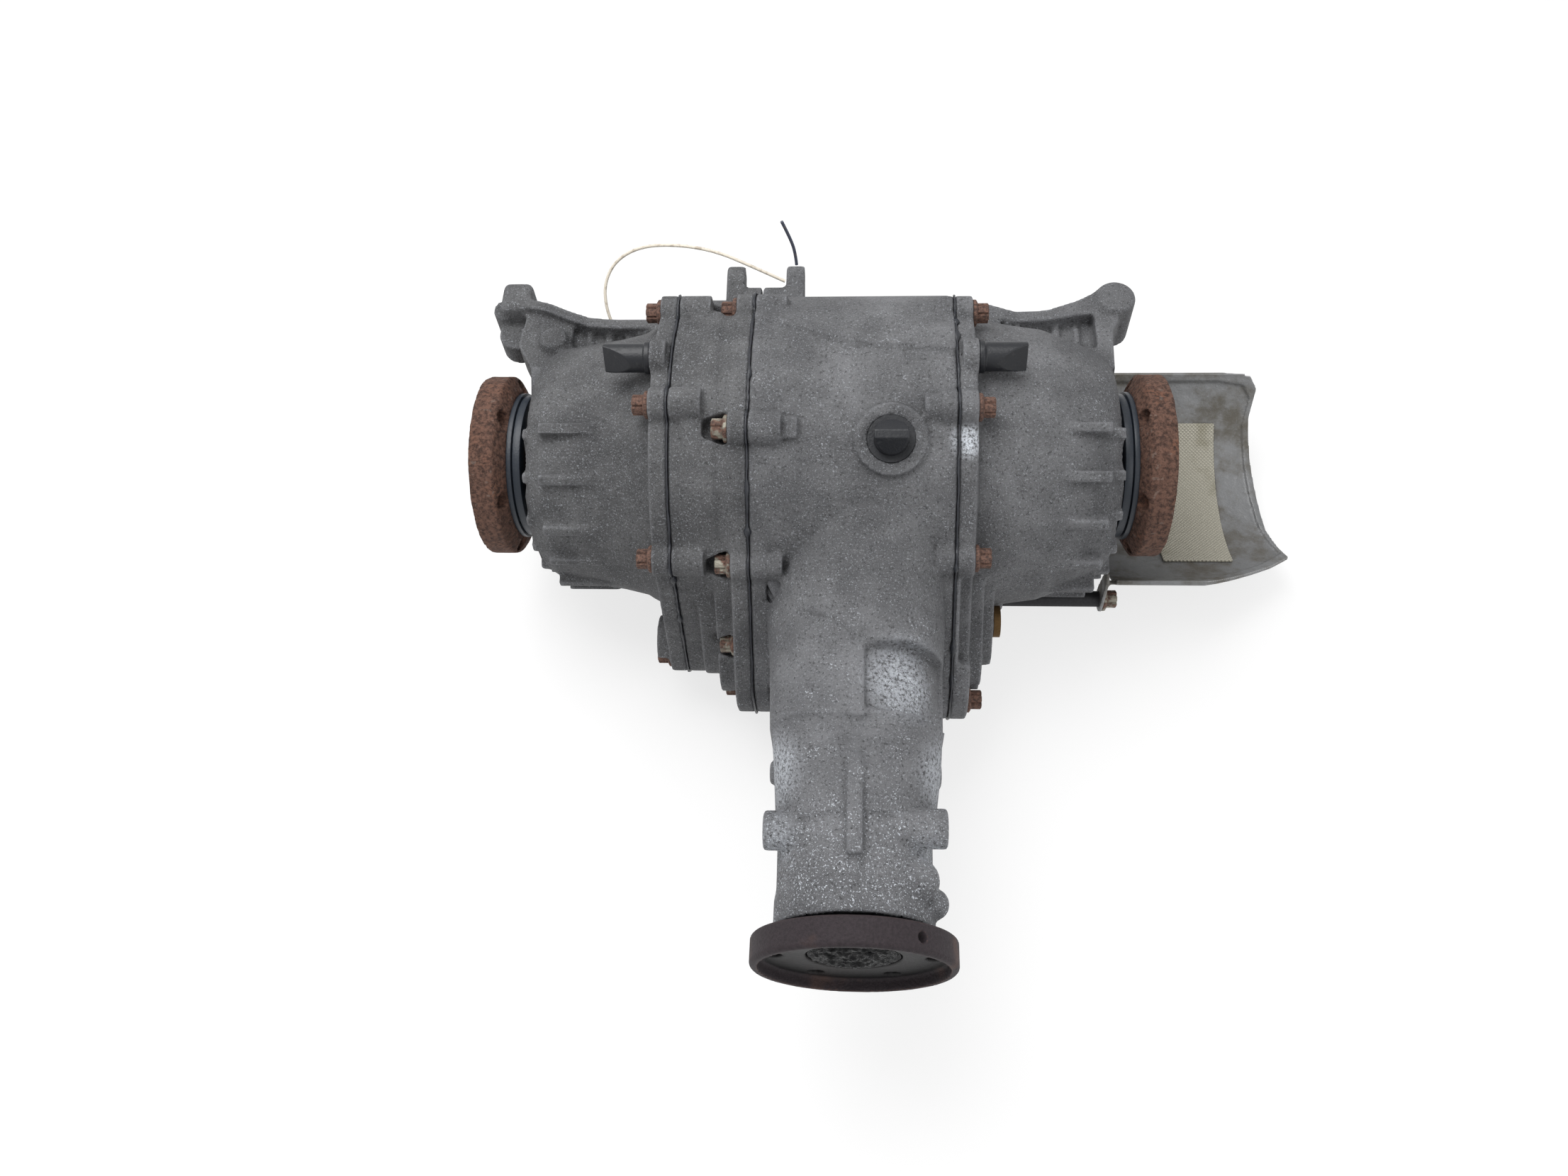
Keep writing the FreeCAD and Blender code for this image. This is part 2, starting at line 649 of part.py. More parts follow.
def right_arm():
    outline = ((56.0, 50.0), (56.0, 84.0), (78.0, 84.0), (94.0, 78.0), (112.0, 79.0),
               (130.0, 86.0), (right_ear_x - 3.0, right_ear_y + right_ear_r - 0.5),
               (right_ear_x + 3.0, right_ear_y - right_ear_r + 0.5), (150.0, 62.0), (148.0, 20.0))
    plate = prism_xy(outline, arm_z0, arm_z1)
    hollow = ((84.0, 50.0), (84.0, 72.0), (94.0, 70.0), (112.0, 71.0), (130.0, 75.0),
              (140.0, 76.0), (140.0, 50.0))
    arm = plate.cut([prism_xy(hollow, arm_floor_z, arm_z1 + 1.0),
                     prism_xy(hollow, arm_z0 - 1.0, arm_z0 + 6.0)])
    ear = post(right_ear_r, right_ear_x, right_ear_y, arm_z0, arm_z1 + 4.0)
    ear = ear.makeFillet(ear_round - 1.0, [ear.Edges[0]])
    return arm.fuse(arm_fins((94.0, 106.0, 118.0, 130.0), 72.0) + [ear])


def right_cover():
    x0 = right_seam_x + sealant_t / 2
    end = right_end_x
    outer = turn_x([(x0, 0.0), (x0, body_r - 0.5), (x0 + flange_t, body_r - 0.5),
                    (x0 + flange_t + 1.0, 86.5), (x0 + 20.0, 86.0), (x0 + 27.0, 84.5),
                    (86.0, 83.5), (107.0, 80.5), (130.0, 71.5), (142.0, 66.0),
                    (end - 2.0, 58.0), (end, 50.0), (end, 0.0)])
    rim = hull_prism(body_r - 0.5, right_lobe_y, lobe_z, lobe_r, x0, x0 + flange_t)
    ribs = [hull_prism(lobe_rib_r, lobe_y + 4.0, lobe_z, lobe_r - 11.0, x0 + flange_t, x0 + 18.0),
            hull_prism(lobe_rib_r, lobe_y + 8.0, lobe_z + 2.0, lobe_r - 21.0, x0 + 18.0,
                       x0 + 24.5)]
    adds = [rim] + ribs
    adds += bosses(right_places, x0, x0 + flange_t)
    adds += drum_ribs(105.0, 138.0, right_rib_angles, 79.0)
    adds += drum_ribs(132.0, 147.0, right_rib_angles, 68.0)
    adds.append(right_arm())
    adds.append(cyl_x(vent_cap_r + 2.0, x0 + 2.0, x0 + flange_t + 1.0, vent_y, vent_z))
    for y, z in standoffs:
        adds.append(cyl_x(standoff_r + 2.5, x0 + 2.0, standoff_x0, y, z))
    level_x = x0 + level_plug_reach
    adds.append(cyl_x(plug_boss_r - 2.0, x0 + 10.0, level_x, level_plug_y, level_plug_z))
    solid = fuse_all(outer, adds)
    bearing_x1 = end - seal_w
    bearing_x0 = bearing_x1 - output_bearing_w
    boss_r = output_bearing_r + 5.0
    web_x1 = right_bearing_x + case_bearing_w + web_lip_t
    inner = turn_x([(web_x1, 0.0), (web_x1, 77.0), (107.0, 73.5), (126.0, 65.0), (128.0, 62.0),
                    (128.0, piston_r1 + run), (piston_groove_right_x, piston_r1 + run),
                    (piston_groove_right_x, boss_r),
                    (bearing_x0, boss_r), (bearing_x0, 0.0)])
    cuts = [inner, cyl_x(body_r - wall, x0, right_bearing_x - 0.5),
            cyl_x(case_bearing_r, right_bearing_x - 1.0, web_x1 - web_lip_t),
            cyl_x(case_bearing_r - 5.0, web_x1 - web_lip_t - 0.5, web_x1 + 1.0),
            cyl_x(output_bearing_r, bearing_x0 - 1.0, bearing_x1), cyl_x(seal_r, bearing_x1, end)]
    cuts += through_holes(right_places, x0, x0 + flange_t + 20.0)
    head_x = x0 + flange_t
    cuts += [cyl_x(bolt_flange_r + 1.2, head_x, head_x + 16.0, y, z) for y, z in right_places]
    corners = [Vector(x0 + 3.0, y, z) for y, z in slot_corners]
    slot = Part.Face(Part.makePolygon(corners + corners[:1])).extrude(Vector(slot_w, 0, 0))
    cuts.append(slot)
    cuts.append(cyl_x(vent_nipple_r, x0 + 2.0, x0 + flange_t + 1.0, vent_y, vent_z))
    cuts.append(cyl_x(plug_r, level_x - plug_len - 2.0, level_x + 1.0, level_plug_y, level_plug_z))
    for y, z in standoffs:
        cuts.append(cyl_x(bolt_r, standoff_x0 - 12.0, standoff_x0, y, z))
    cuts.append(ear_thread(right_ear_x, right_ear_y))
    return solid.cut(cuts)


def sealant(seam_x, lobe, bolt_places, inner_r):
    """A thin seal squeezed out a little all round between two flanges."""
    x0, x1 = seam_x - sealant_t / 2, seam_x + sealant_t / 2
    grown = sealant_proud
    outline = hull_prism(body_r + grown, lobe[0], lobe[1], lobe[2] + grown, x0, x1)
    outline = fuse_all(outline, bosses(bolt_places, x0, x1, bolt_boss_r + grown))
    cuts = [cyl_x(inner_r, x0, x1)] + through_holes(bolt_places, x0, x1)
    return outline.cut(cuts)


def vent_cap(x0, side):
    """A rubber cap on a vent nipple: a round collar and a body pinched flat at its end."""
    y, z = vent_y, vent_z
    length = vent_cap_len
    cap = cyl_x(vent_cap_r, x0, x0 + side * length, y, z)
    collar = cyl_x(vent_cap_r + 1.0, x0, x0 + side * 3.0, y, z)
    cap = cap.fuse(collar)
    wedge_x = x0 + side * 11.0
    tip_x = x0 + side * (length + 1.0)
    for s in (-1, 1):
        corners = [Vector(wedge_x, y - 20, z + s * vent_cap_r),
                   Vector(tip_x, y - 20, z + s * vent_tip_t / 2),
                   Vector(tip_x, y - 20, z + s * 20.0), Vector(wedge_x, y - 20, z + s * 20.0)]
        wedge = Part.Face(Part.makePolygon(corners + corners[:1])).extrude(Vector(0, 40, 0))
        wedge.rotate(Vector(x0, y, z), Vector(1, 0, 0), vent_twist)
        cap = cap.cut(wedge)
    return cap.cut(cyl_x(vent_nipple_r, x0, x0 + side * 8.0, y, z)).removeSplitter()


def centre_vent_pieces():
    """The centre vent's ring, rubber cap and nipple, made on +Z and leaned over."""
    base = centre_vent_boss_top - centre_ring_t
    ring = Part.makeCylinder(centre_ring_r, centre_ring_t, Vector(0, 0, base))
    ring = ring.cut(Part.makeCylinder(centre_cap_r, centre_ring_t, Vector(0, 0, base)))
    cap = Part.makeCylinder(centre_cap_r, centre_cap_len, Vector(0, 0, base))
    top = base + centre_cap_len
    for s in (-1, 1):
        corners = [Vector(-20, s * centre_cap_r, base + 9.0), Vector(-20, s * 1.5, top + 1.0),
                   Vector(-20, s * 20.0, top + 1.0), Vector(-20, s * 20.0, base + 9.0)]
        cap = cap.cut(Part.Face(Part.makePolygon(corners + corners[:1])).extrude(Vector(40, 0, 0)))
    cap = cap.cut(Part.makeCylinder(vent_nipple_r, 8.0, Vector(0, 0, base)))
    nipple = Part.makeCylinder(vent_nipple_r, 14.0, Vector(0, 0, base - 7.0))
    nipple = nipple.cut(Part.makeCylinder(vent_nipple_r - 1.4, 14.0, Vector(0, 0, base - 7.0)))
    lean = centre_vent_angle - 90.0
    pieces = []
    for piece in (ring, cap, nipple):
        piece.rotate(Vector(0, 0, 0), Vector(1, 0, 0), lean)
        piece.translate(Vector(centre_vent_x, 0, 0))
        pieces.append(piece)
    return pieces


def side_nipple(x0, side):
    y, z = vent_y, vent_z
    tube = cyl_x(vent_nipple_r, x0 - side * 8.0, x0 + side * 7.5, y, z)
    return tube.cut(cyl_x(vent_nipple_r - 1.4, x0 - side * 8.0, x0 + side * 7.5, y, z))


def output_flange(face_x, side):
    """The drive flange: a thick rim, a cone behind it and a hub through the seal."""
    f = face_x
    shoulder = f - side * output_rim_t
    back = shoulder - side * output_cone_t
    hub_end = inner_end(side)
    body = turn_x([(f, output_pilot_r), (f, output_flange_r), (shoulder, output_flange_r),
                   (back, output_back_r), (back, output_hub_r), (hub_end, output_hub_r),
                   (hub_end, shaft_r), (f - side * 8.0, shaft_r), (f - side * 8.0, 26.0),
                   (f - side * output_pilot_depth, 26.0), (f - side * output_pilot_depth, output_pilot_r)])
    holes = []
    for i in range(output_holes):
        y, z = polar(output_pcd / 2.0, 30.0 + 60.0 * i)
        holes.append(cyl_x(output_hole_r, f, back, y, z))
    return body.cut(holes)


def inner_end(side):
    """The inboard end of an output flange's hub, flush with its bearing."""
    if side < 0:
        return left_end_x + seal_w + output_bearing_w
    return right_end_x - seal_w - output_bearing_w


def dust_rings(face_x, side):
    """Two black slinger rings pressed on the hub between the flange and the seal."""
    back = face_x - side * (output_rim_t + output_cone_t)
    first = ring_x(output_hub_r, dust_ring_r, back, back - side * 3.0)
    second = ring_x(output_hub_r, dust_ring_r - 1.2, back - side * 3.6, back - side * dust_ring_t)
    bridge = ring_x(output_hub_r, output_hub_r + 9.0, back - side * 3.0, back - side * 3.6)
    return fuse_all(first, [second, bridge])


def output_seal(side):
    end = left_end_x if side < 0 else right_end_x
    seal = ring_x(output_hub_r + run, seal_r, end, end - side * (seal_w - 0.5))
    return seal.cut(ring_x(output_hub_r + 3.0, seal_r - 3.0, end, end - side * 3.5))


def bearing_pair(r_in, r_out, x0, x1):
    """An angular contact bearing as two rings: the outer one, and the inner one with rollers."""
    width = x1 - x0
    mid = (r_in + r_out) / 2.0
    lean = 0.12 * width
    outer = turn_x([(x0, r_out), (x1, r_out), (x1, mid + 3.0 + lean), (x0, mid + 3.0 - lean)])
    inner = turn_x([(x0, r_in), (x1, r_in), (x1, mid + 3.0 + lean - run * 1.4),
                    (x0 + 1.0, mid + 3.0 - lean - run * 1.4 + 2.0 * lean / width),
                    (x0 + 1.0, mid - 3.0), (x0, mid - 3.0)])
    return outer, inner


def turned_to_y(shape):
    """Take a piece made about +X and stand it about -Y."""
    turned = shape.copy()
    turned.rotate(Vector(0, 0, 0), Vector(0, 0, 1), -90)
    return turned


def involute(angle):
    return math.tan(angle) - angle


def bevel_gear(teeth, mate_teeth, module, face, addendum, dedendum, thinning, body, phase):
    """A straight bevel gear about +Z with its apex at the origin.

    body holds the (radius, height) corners that close the blank behind the teeth. A
    tooth space, or a tooth where phase is 0.5, is centred on +X. Each space is a ruled
    solid between two copies of one involute outline, scaled about the apex, so all of
    its faces are flat and meet those of the mate along straight lines.
    """
    pitch = math.atan2(teeth, mate_teeth)
    radius = teeth * module / 2.0
    cone = radius / math.sin(pitch)
    toe = cone - face
    along = (math.sin(pitch), math.cos(pitch))
    out = (math.cos(pitch), -math.sin(pitch))

    def axial(s, n):
        return s * along[0] + n * out[0], s * along[1] + n * out[1]

    tip = addendum * module
    root = dedendum * module
    outline = [axial(toe, tip * toe / cone), axial(cone, tip), axial(cone, -root - 0.5)] + body
    corners = [Vector(r, 0, a) for r, a in outline]
    blank = Part.Face(Part.makePolygon(corners + corners[:1]))
    blank = blank.revolve(Vector(0, 0, 0), Vector(0, 0, 1), 360)

    virtual = radius / math.cos(pitch)
    virtual_teeth = teeth / math.cos(pitch)
    pressure = math.radians(20.0)
    base = virtual * math.cos(pressure)
    flank = []
    for n in (-root, -root * 0.35, tip * 0.25, tip * 1.25):
        rho = virtual + n
        local = math.acos(min(1.0, base / rho)) if rho > base else 0.0
        half_tooth = (math.pi / (2 * virtual_teeth) - thinning * module / virtual
                      + involute(pressure) - involute(local))
        half_space = math.pi / virtual_teeth - half_tooth
        flank.append((rho * math.sin(half_space), rho * math.cos(half_space) - virtual))

    def section(s, angle):
        k = s / cone
        ca, sa = math.cos(angle), math.sin(angle)
        outline_points = flank + [(-t, n) for t, n in reversed(flank)]
        points = []
        for t, n in outline_points:
            r, a = axial(s, n * k)
            points.append(Vector(r * ca - t * k * sa, r * sa + t * k * ca, a))
        return Part.makePolygon(points + points[:1])

    spaces = []
    for i in range(teeth):
        angle = 2 * math.pi * (i + phase) / teeth
        spaces.append(Part.makeLoft([section(toe * 0.86, angle), section(cone * 1.1, angle)],
                                    True, True))
    return blank.cut(spaces)


def aim(shape, to_x, to_z, centre=Vector(0, 0, 0)):
    """Turn a piece so that its own +X and +Z point along to_x and to_z."""
    to_y = to_z.cross(to_x)
    matrix = FreeCAD.Matrix(to_x.x, to_y.x, to_z.x, centre.x,
                            to_x.y, to_y.y, to_z.y, centre.y,
                            to_x.z, to_y.z, to_z.z, centre.z, 0, 0, 0, 1)
    placed = shape.copy()
    placed.Placement = FreeCAD.Placement(matrix)
    return placed


def ring_gear():
    back = -ring_back_x
    gear = bevel_gear(ring_teeth, pinion_teeth, drive_module, drive_face, 0.55, 1.3, 0.035,
                      [(85.0, back - 5.0), (83.0, back), (ring_bore_r, back), (ring_bore_r, 22.0)], 0.0)
    gear = aim(gear, Vector(0, -1, 0), Vector(-1, 0, 0))
    threads = []
    for i in range(ring_bolt_count):
        y, z = polar(ring_bolt_circle_r, 360.0 * (i + 0.5) / ring_bolt_count)
        threads.append(cyl_x(bolt_r, ring_back_x, ring_back_x + 10.0, y, z))
    return gear.cut(threads)


def ring_bolts():
    outer_face = ring_back_x - case_flange_t
    bolts = []
    for i in range(ring_bolt_count):
        y, z = polar(ring_bolt_circle_r, 360.0 * (i + 0.5) / ring_bolt_count)
        bolts.append(seam_bolt(outer_face, -1, y, z, case_flange_t + 9.0))
    return Part.makeCompound(bolts)


def pinion_shaft():
    pitch = math.atan2(pinion_teeth, ring_teeth)
    cone = pinion_teeth * drive_module / 2.0 / math.sin(pitch)
    heel = cone * math.cos(pitch)
    gear = bevel_gear(pinion_teeth, ring_teeth, drive_module, drive_face, 1.0, 0.85, 0.035,
                      [(pinion_head_r + 1.5, heel + 5.0), (pinion_head_r + 1.5, head_bearing_y),
                       (0.0, head_bearing_y), (0.0, 60.0)], 0.5)
    gear = aim(gear, Vector(-1, 0, 0), Vector(0, -1, 0))
    seat_end = -head_bearing_y - head_bearing_w
    tail_end = -tail_bearing_y - tail_bearing_w - 0.5
    thread_y = nut_seat_y + 0.1
    stem = turn_y([(1.0 - head_bearing_y, 0.0), (1.0 - head_bearing_y, pinion_head_r),
                   (seat_end, pinion_head_r), (seat_end, pinion_stem_r),
                   (-tail_bearing_y, pinion_stem_r), (-tail_bearing_y, pinion_tail_r),
                   (tail_end, pinion_tail_r), (tail_end, pinion_spline_r),
                   (thread_y, pinion_spline_r), (thread_y, pinion_thread_r),
                   (-293.0, pinion_thread_r), (-294.0, pinion_thread_r - 1), (-294.0, 0.0)])
    return gear.fuse(stem)


def pinion_bearings():
    head = bearing_pair(pinion_head_r, pinion_head_bearing_r, head_bearing_y,
                        head_bearing_y + head_bearing_w)
    tail = bearing_pair(pinion_tail_r, pinion_tail_bearing_r, tail_bearing_y,
                        tail_bearing_y + tail_bearing_w)
    return [turned_to_y(part) for part in head + tail]


def input_flange():
    f = input_face_y
    back = f + input_rim_t
    floor = f + input_pilot_depth
    hub_end = -265.0
    body = turn_y([(f, input_pilot_r), (f, input_flange_r - 1.5), (f + 1.5, input_flange_r),
                   (back - 1.0, input_flange_r), (back, input_flange_r - 1.0), (back, input_hub_r + 2.0),
                   (back + 2.0, input_hub_r), (hub_end, input_hub_r), (hub_end, pinion_spline_r),
                   (nut_seat_y, pinion_spline_r), (nut_seat_y, input_recess_r),
                   (floor, input_recess_r),
                   (floor, input_pilot_r)])
    holes = []
    for i in range(input_holes):
        a = math.radians(60.0 * i)
        x, z = input_pcd / 2.0 * math.cos(a), input_pcd / 2.0 * math.sin(a)
        holes.append(cyl_y(input_hole_r, floor - 1.0, back + 1.0, x, z))
    mark = Part.makeCylinder(2.6, 20.0, Vector(27.0, f + 7.4, 34.0), Vector(0.62, 0, 0.785))
    mark = mark.common(ring_y(input_pilot_r - 1.0, input_flange_r + 1.0, f, back))
    return body.cut(holes + [mark])


def pinion_nut():
    radius = nut_af / math.sqrt(3.0)
    corners = [Vector(radius * math.cos(math.radians(60 * i)), nut_seat_y,
                      radius * math.sin(math.radians(60 * i))) for i in range(7)]
    nut = Part.Face(Part.makePolygon(corners)).extrude(Vector(0, -nut_t, 0))
    return nut.cut(cyl_y(pinion_thread_r, nut_seat_y, nut_seat_y - nut_t))


def diff_case():
    flange_x = ring_back_x - case_flange_t
    left_tip, right_tip = left_basket_x + 2.0, right_basket_x - 2.0
    left_shoulder = left_bearing_x + case_bearing_w
    body = turn_x([(left_tip, shaft_r + 1.5), (left_tip, case_neck_r), (left_shoulder, case_neck_r),
                   (left_shoulder, case_neck_r + 4.0), (flange_x, 36.0),
                   (flange_x, case_flange_r), (ring_back_x, case_flange_r),
                   (ring_back_x, ring_bore_r - run), (ring_back_x + 6.0, ring_bore_r - run),
                   (ring_back_x + 6.0, case_r), (30.0, case_r), (36.0, 44.0), (42.0, case_neck_r + 5.0),
                   (right_bearing_x, case_neck_r + 4.0), (right_bearing_x, case_neck_r),
                   (right_tip, case_neck_r), (right_tip, shaft_r + 1.5)])
    half = side_back + face_gap
    cavity = Part.makeSphere(case_cavity_r).common(box(-half, half, -60, 60, -60, 60))
    windows = box(-22.0, 22.0, -60.0, 60.0, -26.0, 26.0)
    pin_hole = Part.makeCylinder(cross_pin_r, 120.0, Vector(0, 0, -60.0))
    bolt_holes = []
    for i in range(ring_bolt_count):
        y, z = polar(ring_bolt_circle_r, 360.0 * (i + 0.5) / ring_bolt_count)
        bolt_holes.append(cyl_x(bolt_r + bolt_hole_clear, flange_x, ring_back_x, y, z))
    return body.cut([cavity, windows, pin_hole] + bolt_holes)


def side_gear(side):
    gear = bevel_gear(side_teeth, spider_teeth, diff_module, diff_face, 0.78, 1.05, 0.035,
                      [(29.5, side_back - 3.0), (27.0, side_back), (shaft_r, side_back),
                       (shaft_r, 14.0)], 0.0)
    return aim(gear, Vector(0, 0, 1), Vector(side, 0, 0))


def spider_gear(up):
    gear = bevel_gear(spider_teeth, side_teeth, diff_module, diff_face, 0.78, 1.05, 0.035,
                      [(12.0, 39.0), (cross_pin_r + run, 39.4), (cross_pin_r + run, 22.0)], 0.5)
    return aim(gear, Vector(-1, 0, 0), Vector(0, 0, up))


def output_shaft(side):
    """The stub shaft from the side gear out to the flange, with splines at both ends."""
    inner = side * 14.5
    outer = (left_face_x if side < 0 else right_face_x) - side * 8.5
    shaft = cyl_x(shaft_r, inner, outer)
    groove = ring_x(shaft_r - 1.5, shaft_r + 1.0, side * (side_back + 1.0), side * (side_back + 3.0))
    return shaft.cut(groove)


def clutch_basket(x0, side, length):
    """The outer plate carrier, open towards the piston, with slots round its drum."""
    x1 = x0 + side * length
    bearing_end = left_bearing_x if side < 0 else right_bearing_x + case_bearing_w
    tip = bearing_end + side * (web_lip_t + 0.3)
    body = turn_x([(tip, case_neck_r), (tip, case_neck_r + 4.0), (x0, case_neck_r + 6.0),
                   (x0, basket_r), (x1, basket_r), (x1, basket_r - basket_t),
                   (x0 + side * basket_t, basket_r - basket_t), (x0 + side * basket_t, case_neck_r)])
    slots = [spin_x(box(x0 + side * 12.0, x1 + side, 50.0, 70.0, -3.0, 3.0), 60.0 * i)
             for i in range(3)]
    slots += [spin_x(s, 180.0) for s in slots]
    return body.cut(slots)


def clutch_hub(x0, side, length):
    x1 = x0 + side * (length - 4.0)
    start = x0 + side * (basket_t + 3.0)
    return turn_x([(start, shaft_r), (start, hub_r), (x1, hub_r), (x1, hub_r - hub_wall),
                   (start + side * 6.0, hub_r - hub_wall), (start + side * 6.0, shaft_r + 5.0),
                   (start + side * 16.0, shaft_r + 5.0), (start + side * 16.0, shaft_r)])


def clutch_plates(x0, side):
    """Steel plates that turn with the basket and lined plates that turn with the hub."""
    steels, linings = [], []
    pitch = plate_t + plate_gap
    first = x0 + side * (basket_t + 10.0)
    for i in range(plate_pairs * 2):
        a = first + side * i * pitch
        b = a + side * plate_t
        if i % 2 == 0:
            steels.append(ring_x(plate_inner_r + 1.0, basket_r - basket_t, a, b))
        else:
            linings.append(ring_x(hub_r, plate_outer_r - 1.0, a, b))
    return Part.makeCompound(steels), Part.makeCompound(linings)


def piston(side):
    """The ring that squeezes the plates, with a nose that reaches into the basket."""
    groove, x0 = ((piston_groove_left_x, left_basket_x) if side < 0
                  else (piston_groove_right_x, right_basket_x))
    front = groove - side * piston_t
    pack_end = clutch_pack_end(x0, side)
    plain = ring_x(piston_r0, piston_r1, groove - side * face_gap, front)
    nose = ring_x(piston_r0, piston_nose_r, front, pack_end + side * piston_play)
    return plain.fuse(nose).removeSplitter()


def clutch_pack_end(x0, side):
    first = x0 + side * (basket_t + 10.0)
    return first + side * (2 * plate_pairs * (plate_t + plate_gap) - plate_gap)


def shield_arc(r_in, r_out, x0, x1, a0, a1):
    """A curved plate about the shield's own axis. Angles are from straight down."""
    ring = cyl_x(r_out, x0, x1, shield_y, shield_z).cut(cyl_x(r_in, x0, x1, shield_y, shield_z))
    reach = 2.0 * r_out
    corners = [Vector(x0, shield_y, shield_z)]
    for i in range(5):
        a = math.radians(a0 + (a1 - a0) * i / 4.0)
        corners.append(Vector(x0, shield_y + reach * math.sin(a), shield_z - reach * math.cos(a)))
    wedge = Part.Face(Part.makePolygon(corners + corners[:1])).extrude(Vector(x1 - x0, 0, 0))
    return ring.common(wedge)


def heat_shield():
    """A bright trough under the drive joint, with hemmed edges and two bolted tabs."""
    half = shield_half_angle
    left_corners = ((shield_x0, -80.0), (shield_x0, 112.0))
    outline = prism_xy(left_corners + ((240.0, 112.0),) + shield_corners + ((212.0, -80.0),),
                       -120.0, 20.0)
    inner = [(x - shield_hem_w, y - math.copysign(shield_hem_w, y - shield_y))
             for x, y in shield_corners]
    inside = prism_xy(((shield_x0 - 1.0, -51.0), (shield_x0 - 1.0, 102.0)) + tuple(inner),
                      -130.0, 30.0)
    trough = shield_arc(shield_r, shield_r + shield_t, shield_x0, shield_x1, -half, half)
    hem = shield_arc(shield_r - shield_hem_t, shield_r + shield_t, shield_x0, shield_x1, -half, half)
    hem = hem.cut(inside)
    body = trough.fuse(hem).common(outline)
    plates = []
    for y, z in standoffs:
        angle = math.degrees(math.asin((y - shield_y) / shield_r))
        foot_y, foot_z = y, shield_z - (shield_r + 1.0) * math.cos(math.radians(angle))
        plates.append(hull_prism(shield_tab_r, foot_y, foot_z + 3.0, 5.0, standoff_x1,
                                 standoff_x1 + shield_tab_t, y, z))
        plates.append(shield_arc(shield_r, shield_r + shield_t, standoff_x1, shield_x0 + 1.0,
                                 angle - 3.0, angle + 3.0))
    solid = fuse_all(body, plates)
    holes = [cyl_x(bolt_r + bolt_hole_clear, standoff_x1 - 1, standoff_x1 + 3, y, z)
             for y, z in standoffs]
    return solid.cut(holes)


def heat_shield_pad():
    return shield_arc(shield_r - pad_t, shield_r, pad_x0, pad_x1, pad_angle0, pad_angle1)


def shield_standoffs():
    bars = []
    for y, z in standoffs:
        bar = cyl_x(standoff_r, standoff_x0, standoff_x1, y, z)
        stud = cyl_x(bolt_r, standoff_x0 - 10.0, standoff_x0, y, z)
        thread = cyl_x(bolt_r, standoff_x1 - 12.0, standoff_x1, y, z)
        bars.append(bar.fuse(stud).removeSplitter().cut(thread))
    return Part.makeCompound(bars)


def shield_bolts():
    face = standoff_x1 + shield_tab_t
    return Part.makeCompound([seam_bolt(face, 1, y, z, 12.0) for y, z in standoffs])


def plug(place, axis):
    """A screwed plug with a thin rim and a hexagon socket, made along +X and aimed."""
    body = cyl_x(plug_r, -plug_len, 0.0)
    rim = cyl_x(plug_r + plug_rim, 0.0, plug_head_t)
    solid = body.fuse(rim).removeSplitter().cut(hex_x(plug_socket_af, -4.0, plug_head_t, 0.0, 0.0))
    solid.Placement = FreeCAD.Placement(place, FreeCAD.Rotation(Vector(1, 0, 0), axis))
    return solid


def bolt_group(places, face_x, side):
    return Part.makeCompound([seam_bolt(face_x, side, y, z, flange_t + bolt_grip - 2.0)
                              for y, z in places])


def wire_tube(points, diameter):
    """A tube along straight runs joined by tangent arcs, as large as the runs allow."""
    runs = [points[i + 1] - points[i] for i in range(len(points) - 1)]
    edges = []
    start = points[0]
    for i in range(1, len(points) - 1):
        before, after = runs[i - 1], runs[i]
        turn = before.getAngle(after)
        reach = 0.45 * min(before.Length, after.Length)
        radius = reach / math.tan(turn / 2.0)
        u, v = Vector(before).normalize(), Vector(after).normalize()
        a, b = points[i] - u * reach, points[i] + v * reach
        centre_way = (v - u).normalize()
        centre = points[i] + centre_way * (radius / math.cos(turn / 2.0))
        middle = centre - centre_way * radius
        edges += [Part.LineSegment(start, a).toShape(), Part.Arc(a, middle, b).toShape()]
        print("wire bend radius", round(radius, 1))
        start = b
    edges.append(Part.LineSegment(start, points[-1]).toShape())
    path = Part.Wire(edges)
    ring = Part.Wire(Part.makeCircle(diameter / 2.0, points[0], runs[0]))
    tube = path.makePipeShell([ring], True, False)
    print("wire length", round(path.Length, 1), "volume share",
          round(tube.Volume / (math.pi * diameter ** 2 / 4.0 * path.Length), 4))
    return tube


tie_wire_points = [Vector(lug_xs[1] - lug_t / 2 - 0.6, 99.0, 54.0), Vector(-64.0, 105.0, 60.0),
                   Vector(-88.0, 114.5, 64.5), Vector(-113.0, 120.0, 64.5),
                   Vector(-136.0, 124.0, 59.0), Vector(-152.5, 121.5, 50.0),
                   Vector(-160.0, 112.0, 41.0), Vector(-160.0, 101.0, 32.5),
                   Vector(-156.0, 91.5, 23.5), Vector(-149.5, 83.5, 18.9),
                   Vector(-143.5, 76.5, 18.7)]
wire_stub_points = [Vector(-38.5, 112.7, 53.8), Vector(-39.0, 115.0, 61.0),
                    Vector(-41.5, 117.5, 70.5), Vector(-46.5, 119.5, 83.0)]
wire_d = 2.0


